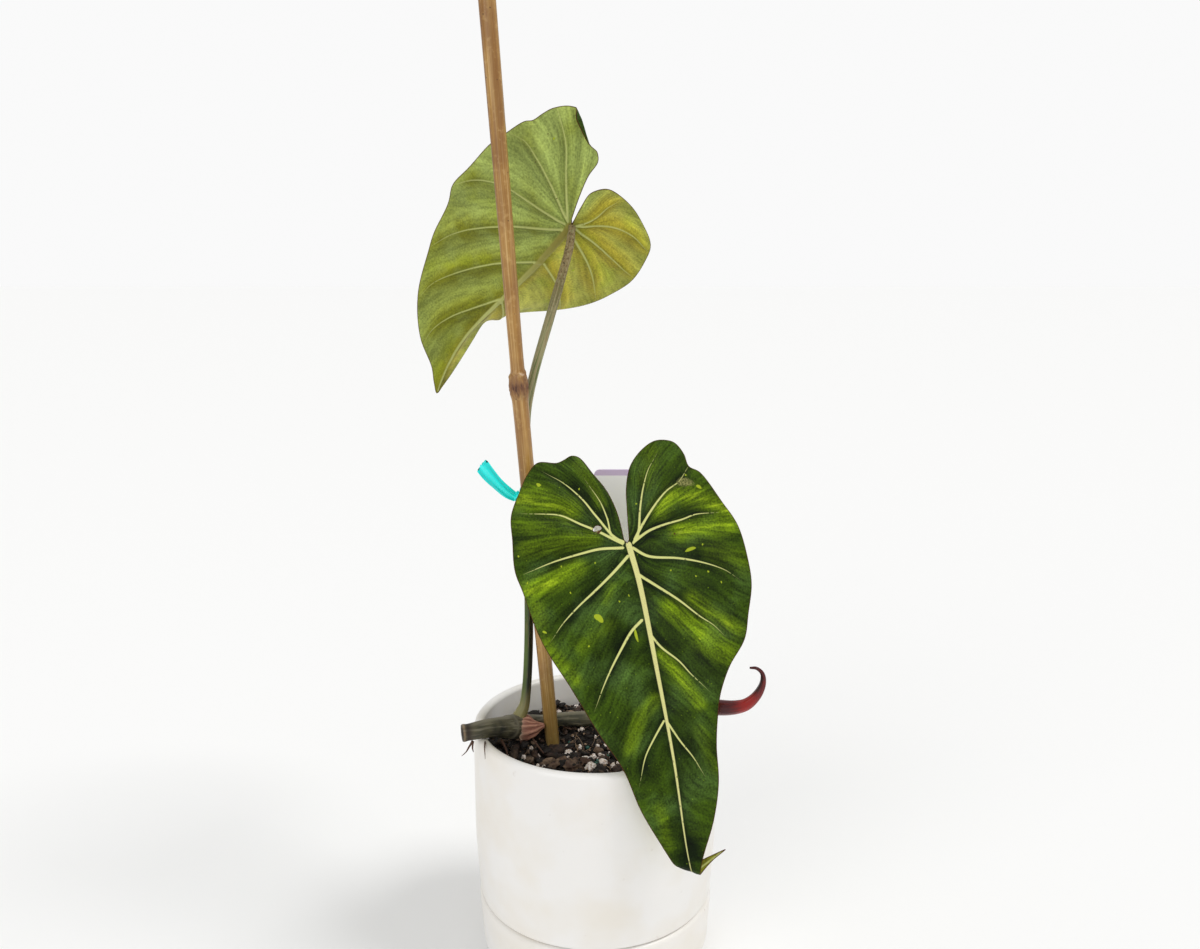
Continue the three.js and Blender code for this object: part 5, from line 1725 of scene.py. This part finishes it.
class PHILODENDRON_OT_label(Operator):
    """Add the bare plant label that stands in the soil"""
    bl_idname = "philodendron.label"
    bl_label = "Label"

    def execute(self, context):
        add_label(context.scene.philodendron.label)
        return {"FINISHED"}


# Potting mix: a plug that fills the pot, with bark, crumbs, fibres, perlite and feed beads

SOIL_R = POT_IN_R - GAP
SOIL_CHUNKS = 34
SOIL_SEED = 20417
SOIL_SIDES = 220
SOIL_RINGS = 64
SOIL_FRAY = 0.4
CLEAR_OF_CANE, CLEAR_OF_LABEL = 4, 0.6
CRUMB_SIZE, GRAIN_SIZE, FIBRE_LENGTH = (0.9, 2.9), (0.35, 0.95), (4, 13)
PERLITE_COUNT, PERLITE_SIZE = 150, (0.5, 1.6)
BEAD_COUNT, BEAD_SIZE, BEAD_SHOWN = 9, (0.9, 1.1), 1.15
CHUNK_RADIUS = (2.2, 5.4)
CHUNK_WIDEST = 1.35
MOUND_RISE, MOUND_SPREAD, MOUND_FROM, MOUND_TO = 7.5, 8, 38, 54
RIDGE_LEFT = (-42, -3)
RIDGE_BACK = (-12, 14)
CANE_DIP = (-21, -7, 4.5, 7)
SOIL_RIPPLES = [(0.9, 4.1, 7.3), (0.8, -9.1, 3.7), (0.4, 2.3, 50)]
PERLITE_PLACES = [
    (-2.3, -25, 4), (-12.6, -11.3, 1.8), (-13.8, -5.6, 2), (-36.5, -17, 1.9), (-5, -16, 2.4),
    (4, -19, 2.2), (-1, -11, 1.9), (9, -21, 2), (-29, -24, 1.8), (-22, -9, 1.5), (-8, -2, 1.5),
    (5, -28, 1.6), (-30, -11, 1.4), (13, -14, 1.8), (-41, -20, 1.4), (-24, -29, 1.3),
]
BEAD_PLACES = [(1.4, -17), (2.9, -18.4), (3.4, -15.4), (8.1, -10.5), (0.2, -19.6), (6.2, -13)]
BARK_PLACES = [(-17.2, -19.8, 4.6), (-11, -24.5, 4.2), (-17, 11, 3.4), (-21.5, -23, 3.2),
               (-6, -20, 3), (-7, -6, 2.6), (-13, -16, 2.8)]


class SoilSettings(PropertyGroup):
    mix: tint("Mix", "Dark brown of the damp mix", "#140C08")
    bark: tint("Bark", "Red-brown of the bark", "#483124")
    bark_pale: tint("Pale bark", "Weathered faces of the bark", "#9A8169")
    perlite: tint("Perlite", "White of the perlite", "#F4EAE4")
    perlite_shade: tint("Perlite shade", "Stained pits of the perlite", "#B89F8C")
    bead: tint("Feed bead", "Teal of the slow-release feed beads", "#1B6A5C")
    crumbs: IntProperty(name="Crumbs", description="Crumbs on the mix", min=0, default=750)
    grains: IntProperty(name="Grains", description="Fine grains on the mix", min=0, default=3600)
    fibres: IntProperty(name="Fibres", description="Loose fibres on the mix", min=0, default=200)


def soil_top(x, y):
    """Height of the mix: the solid's level and heap under the rhizome, dipped at the cane."""
    dip_x, dip_y, deep, spread = CANE_DIP
    dip = deep * np.exp(-0.5 * ((x - dip_x) ** 2 + (y - dip_y) ** 2) / spread ** 2)
    share = smoothstep(x, RIDGE_LEFT[0], RIDGE_BACK[0])
    ridge = RIDGE_LEFT[1] + (RIDGE_BACK[1] - RIDGE_LEFT[1]) * share
    inner = 1 - smoothstep(np.abs(x), MOUND_FROM, MOUND_TO)
    mound = MOUND_RISE * inner * np.exp(-0.5 * ((y - ridge) / MOUND_SPREAD) ** 2)
    ripples = sum(h * np.sin(x / lx + y / ly) for h, lx, ly in SOIL_RIPPLES)
    return SOIL_LEVEL + mound + ripples - dip


def lehmer(seed):
    """The plain seeded draw that places the solid's own chunks."""
    state = seed
    while True:
        state = state * 16807 % 2147483647
        yield state / 2147483647


def ball_mesh(level):
    """Points and triangles of a round ball, one millimetre in radius."""
    ball = bmesh.new()
    bmesh.ops.create_icosphere(ball, subdivisions=level, radius=1)
    points = np.array([v.co[:] for v in ball.verts])
    faces = [[v.index for v in f.verts] for f in ball.faces]
    ball.free()
    return points, faces


def lump(ball, size, scale, tilt, spin, rough, seed, place, kind):
    """A broken lump as a part of a piece: a ball roughened, squashed, turned and set down. Its
    kind is how much of it is bark, how pale it is and how fibrous."""
    points, faces = ball
    swell = 1 + rough * (bumps(points, 0.75, seed) + 0.5 * bumps(points, 0.3, seed + 0.5))
    x, y, z = (points * swell[:, None] * scale * size).T
    y, z = turned(y, z, tilt)
    x, y = turned(x, y, spin)
    return np.column_stack([x, y, z]) + place, faces, {"kind": [kind]}


def on_mix(x, y, lift):
    """A place on the mix, so many millimetres above its surface."""
    return [x, y, float(soil_top(x, y)) + lift]


def clear_of_stems(x, y, size):
    """Whether a lump would miss the cane and the label."""
    cane = np.hypot(x - CANE_AXIS[0][0], y - CANE_AXIS[0][1]) > CLEAR_OF_CANE + size
    aside = abs(x - LABEL_PLACE[0]) > LABEL_WIDTH / 2 + size
    return cane and (aside or abs(y - LABEL_PLACE[1]) > CLEAR_OF_LABEL + size)


def soil_plug():
    """The body of the mix, rough on top, down to the pot's floor."""
    reach = SOIL_R * np.linspace(0.004, 1, SOIL_RINGS)
    place = lathe([(r, 0) for r in reach], SOIL_SIDES)
    rough = 0.9 * bumps(place, 5.5, 20) + 0.7 * bumps(place, 2.3, 21) + 0.35 * bumps(place, 1.1, 22)
    x, y, _ = np.moveaxis(place, -1, 0)
    foot_in = POT_FOOT_R - POT_WALL - GAP
    walls = lathe([(SOIL_R, SEAM_Z + POT_WALL + 1), (foot_in, SEAM_Z - POT_WALL),
                   (foot_in, FLOOR_TOP + GAP), (1, FLOOR_TOP + GAP)], SOIL_SIDES)
    points = np.concatenate([packed(x, y, soil_top(x, y) + rough - SOIL_FRAY), walls])
    return tube(points[::-1], kind=[[(0, 0.2, 0)]])


def fibre(x, y, size, draw):
    """A loose fibre that lies on the mix in a shallow bend."""
    heading, bend = draw.uniform(0, 2 * pi), draw.uniform(-0.6, 0.6)
    rows = []
    for share in np.linspace(-0.5, 0.5, 5):
        turn = heading + bend * share
        lift = 0.75 - share ** 2 + draw.uniform(0, 0.5)
        place = on_mix(x + size * share * cos(turn), y + size * share * sin(turn), lift)
        rows.append((*place, 0.17 - 0.2 * abs(share)))
    return tube(stem(rows, size / 7, 5).skin(), kind=[[(0.7, draw.uniform(0.2, 1), 1)]])


def spread(draw, radius):
    """A drawn place [x, y], spread evenly over a round of this radius."""
    reach, turn = radius * draw.random() ** 0.5, draw.uniform(0, 2 * pi)
    return reach * cos(turn), reach * sin(turn)


def add_mix(settings):
    """The plug with its chunks where the solid has them, then bark, crumbs and fibres."""
    draw = np.random.default_rng(SOIL_SEED)
    coarse, fine, grain = map(ball_mesh, (3, 2, 1))
    parts = [soil_plug()]
    drawn = lehmer(SOIL_SEED)
    low, high = CHUNK_RADIUS
    least, most = CRUMB_SIZE
    for number in range(SOIL_CHUNKS):
        size = low + (high - low) * next(drawn) ** 2
        reach = next(drawn) ** 0.5 * (POT_IN_R - 1 - GAP - CHUNK_WIDEST * size)
        turn = 2 * pi * next(drawn)
        scale = [0.8 + 0.5 * next(drawn), 0.8 + 0.5 * next(drawn), 0.7 + 0.3 * next(drawn)]
        tilt, spin = 3 * next(drawn), 6 * next(drawn)
        place = on_mix(reach * cos(turn), reach * sin(turn), -0.2 * size)
        parts.append(lump(coarse, size * 0.9, scale, tilt, spin, 0.7, 30 + number, place,
                          (draw.uniform(0, 0.5), draw.uniform(0, 0.6), 0)))
    for number, (x, y, size) in enumerate(BARK_PLACES):
        parts.append(lump(coarse, size, [1.2, 0.8, 0.5], 0.4, number * 1.3, 1.1, 80 + number,
                          on_mix(x, y, 0.2 * size), (0.8, 0.55, 0)))
    for number in range(settings.crumbs + settings.grains):
        big = number < settings.crumbs
        size = least + (most - least) * draw.random() ** 2.2 if big else draw.uniform(*GRAIN_SIZE)
        x, y = spread(draw, SOIL_R - size - SOIL_FRAY)
        scale = [draw.uniform(0.7, 1.7), draw.uniform(0.6, 1.1), draw.uniform(0.45, 0.9)]
        tilt, spin = draw.uniform(-0.7, 0.7), draw.uniform(0, 6)
        kind = (draw.random() ** 2.2, draw.random(), 0)
        if clear_of_stems(x, y, size):
            place = on_mix(x, y, draw.uniform(0.2, 1) * size)
            ball = fine if big else grain
            parts.append(lump(ball, size, scale, tilt, spin, 0.6, number, place, kind))
    for _ in range(settings.fibres):
        x, y = spread(draw, SOIL_R - 8)
        size = draw.uniform(*FIBRE_LENGTH)
        if clear_of_stems(x, y, size / 2):
            parts.append(fibre(x, y, size, draw))
    add_piece("soil_mix", parts, [bark_and_peat(settings)], ["soil"])


def add_lumps(name, places, flat, rough, material, seed):
    """Perlite or beads: lumps of one kind, pressed a little into the mix."""
    draw = np.random.default_rng(seed)
    ball = ball_mesh(3)
    parts = []
    for number, (x, y, size) in enumerate(places):
        scale = [draw.uniform(flat, 1.15), draw.uniform(flat, 1.15), draw.uniform(flat, 1)]
        tilt, spin, kind = draw.uniform(0, 3), draw.uniform(0, 6), (draw.random(), draw.random(), 0)
        parts.append(lump(ball, size, scale, tilt, spin, rough, seed + number,
                          on_mix(x, y, 0.45 * size + 0.3), kind))
    add_piece(name, parts, [material])


def scattered(count, sizes, seed):
    """Seeded places [x, y, size] spread evenly over the mix, clear of what stands in it."""
    draw = np.random.default_rng(seed)
    places = []
    while len(places) < count:
        x, y = spread(draw, SOIL_R - 4)
        size = draw.uniform(*sizes)
        if clear_of_stems(x, y, size):
            places.append((x, y, size))
    return places


def bark_and_peat(settings):
    """Potting mix: composted bark and peat, damp, dark and matt, its nearly black hollows partly
    the peat's own colour and partly painted shade, with red-brown bark whose broken faces are
    paler and fibrous."""
    material, add = new_material("composted_bark_and_peat")
    place = in_millimetres(add)
    bark, tone, fibrous = channels(add, "kind")
    grit = add("TexNoise", [place, 1 / 1.6, 5])
    broad = add("TexNoise", [place, 1 / 6, 3])
    # Darker where the grit is low, which is where the bump sinks: the peat, and painted shade
    share = add("Math", [bark, grit], operation="ADD")
    share = add("MapRange", [share, 0.75, 1.3])
    pale = add("Math", [tone, broad], operation="ADD")
    pale = add("MapRange", [pale, 1, 1.4])
    pale = add("Math", [pale, share], operation="MULTIPLY")
    pale = add("Math", [fibrous, 0.5, pale], operation="MULTIPLY_ADD", use_clamp=True)
    colour = layered(add, settings.mix, (share, settings.bark), (pale, settings.bark_pale))
    return surfaced(material, add, colour, 0.78, (grit, 0.8, 0.8))


def expanded_perlite(settings):
    """Perlite, volcanic glass popped in a furnace: matt white froth with stained pits."""
    material, add = new_material("expanded_perlite")
    pits = add("TexNoise", [in_millimetres(add), 1 / 1.2, 4])
    pits = add("MapRange", [pits, 0.46, 0.66])
    froth = add("Math", [1, pits], operation="SUBTRACT")
    colour = layered(add, settings.perlite, (pits, settings.perlite_shade))
    return surfaced(material, add, colour, 0.85, (froth, 0.6, 0.4))


def coated_feed(settings):
    """Slow-release plant feed, prilled and resin coated: smooth teal beads with a wet gloss."""
    material, add = new_material("resin_coated_feed")
    cloud = add("TexNoise", [in_millimetres(add), 1 / 1.5, 2])
    colour = layered(add, settings.bead, (cloud, settings.mix))
    return surfaced(material, add, colour, 0.3)


class PHILODENDRON_OT_soil(Operator):
    """Add the potting mix with its bark, perlite and feed beads"""
    bl_idname = "philodendron.soil"
    bl_label = "Potting Mix"

    def execute(self, context):
        settings = context.scene.philodendron.soil
        add_mix(settings)
        perlite = PERLITE_PLACES + scattered(PERLITE_COUNT, PERLITE_SIZE, 51)
        add_lumps("soil_perlite", perlite, 0.5, 0.55, expanded_perlite(settings), 60)
        beads = [(x, y, BEAD_SHOWN) for x, y in BEAD_PLACES] + scattered(BEAD_COUNT, BEAD_SIZE, 52)
        add_lumps("soil_beads", beads, 0.92, 0.04, coated_feed(settings), 70)
        return {"FINISHED"}


# The add-on

SECTIONS = {
    "ceramic": (CeramicSettings, PHILODENDRON_OT_ceramics),
    "soil": (SoilSettings, PHILODENDRON_OT_soil),
    "stem": (StemSettings, PHILODENDRON_OT_rhizome),
    "stalk": (StalkSettings, PHILODENDRON_OT_stalks),
    "leaf": (LeafSettings, PHILODENDRON_OT_leaves),
    "cane": (CaneSettings, PHILODENDRON_OT_cane),
    "tie": (TieSettings, PHILODENDRON_OT_tie),
    "label": (LabelSettings, PHILODENDRON_OT_label),
    "stage": (StageSettings, PHILODENDRON_OT_stage),
}


class PlantSettings(PropertyGroup):
    """The settings of each section, under its name"""
    __annotations__ = {key: PointerProperty(type=group) for key, (group, _) in SECTIONS.items()}


class PHILODENDRON_PT_plant(Panel):
    """Sizes and colours of each piece, with a button that adds it"""
    bl_idname = "PHILODENDRON_PT_plant"
    bl_label = "Potted Philodendron"
    bl_space_type = "VIEW_3D"
    bl_region_type = "UI"
    bl_category = "Philodendron"

    def draw(self, context):
        plant = context.scene.philodendron
        for key, (_, operator) in SECTIONS.items():
            box = self.layout.box()
            box.operator(operator.bl_idname)
            group = getattr(plant, key)
            for name in group.bl_rna.properties.keys():
                if name not in {"rna_type", "name"}:
                    box.prop(group, name)


CLASSES = [*chain(*SECTIONS.values()), PlantSettings, PHILODENDRON_PT_plant]


def register():
    for cls in CLASSES:
        bpy.utils.register_class(cls)
    Scene.philodendron = PointerProperty(type=PlantSettings)


def unregister():
    del Scene.philodendron
    for cls in reversed(CLASSES):
        bpy.utils.unregister_class(cls)


def main():
    register()
    for _, operator in SECTIONS.values():
        group, call = operator.bl_idname.split(".")
        getattr(getattr(bpy.ops, group), call)()
    boxes = {"cad": CAD_BOX, "visual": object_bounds()}
    {key: [list(corner) for corner in box] for key, box in boxes.items()}


if __name__ == "__main__":
    main()
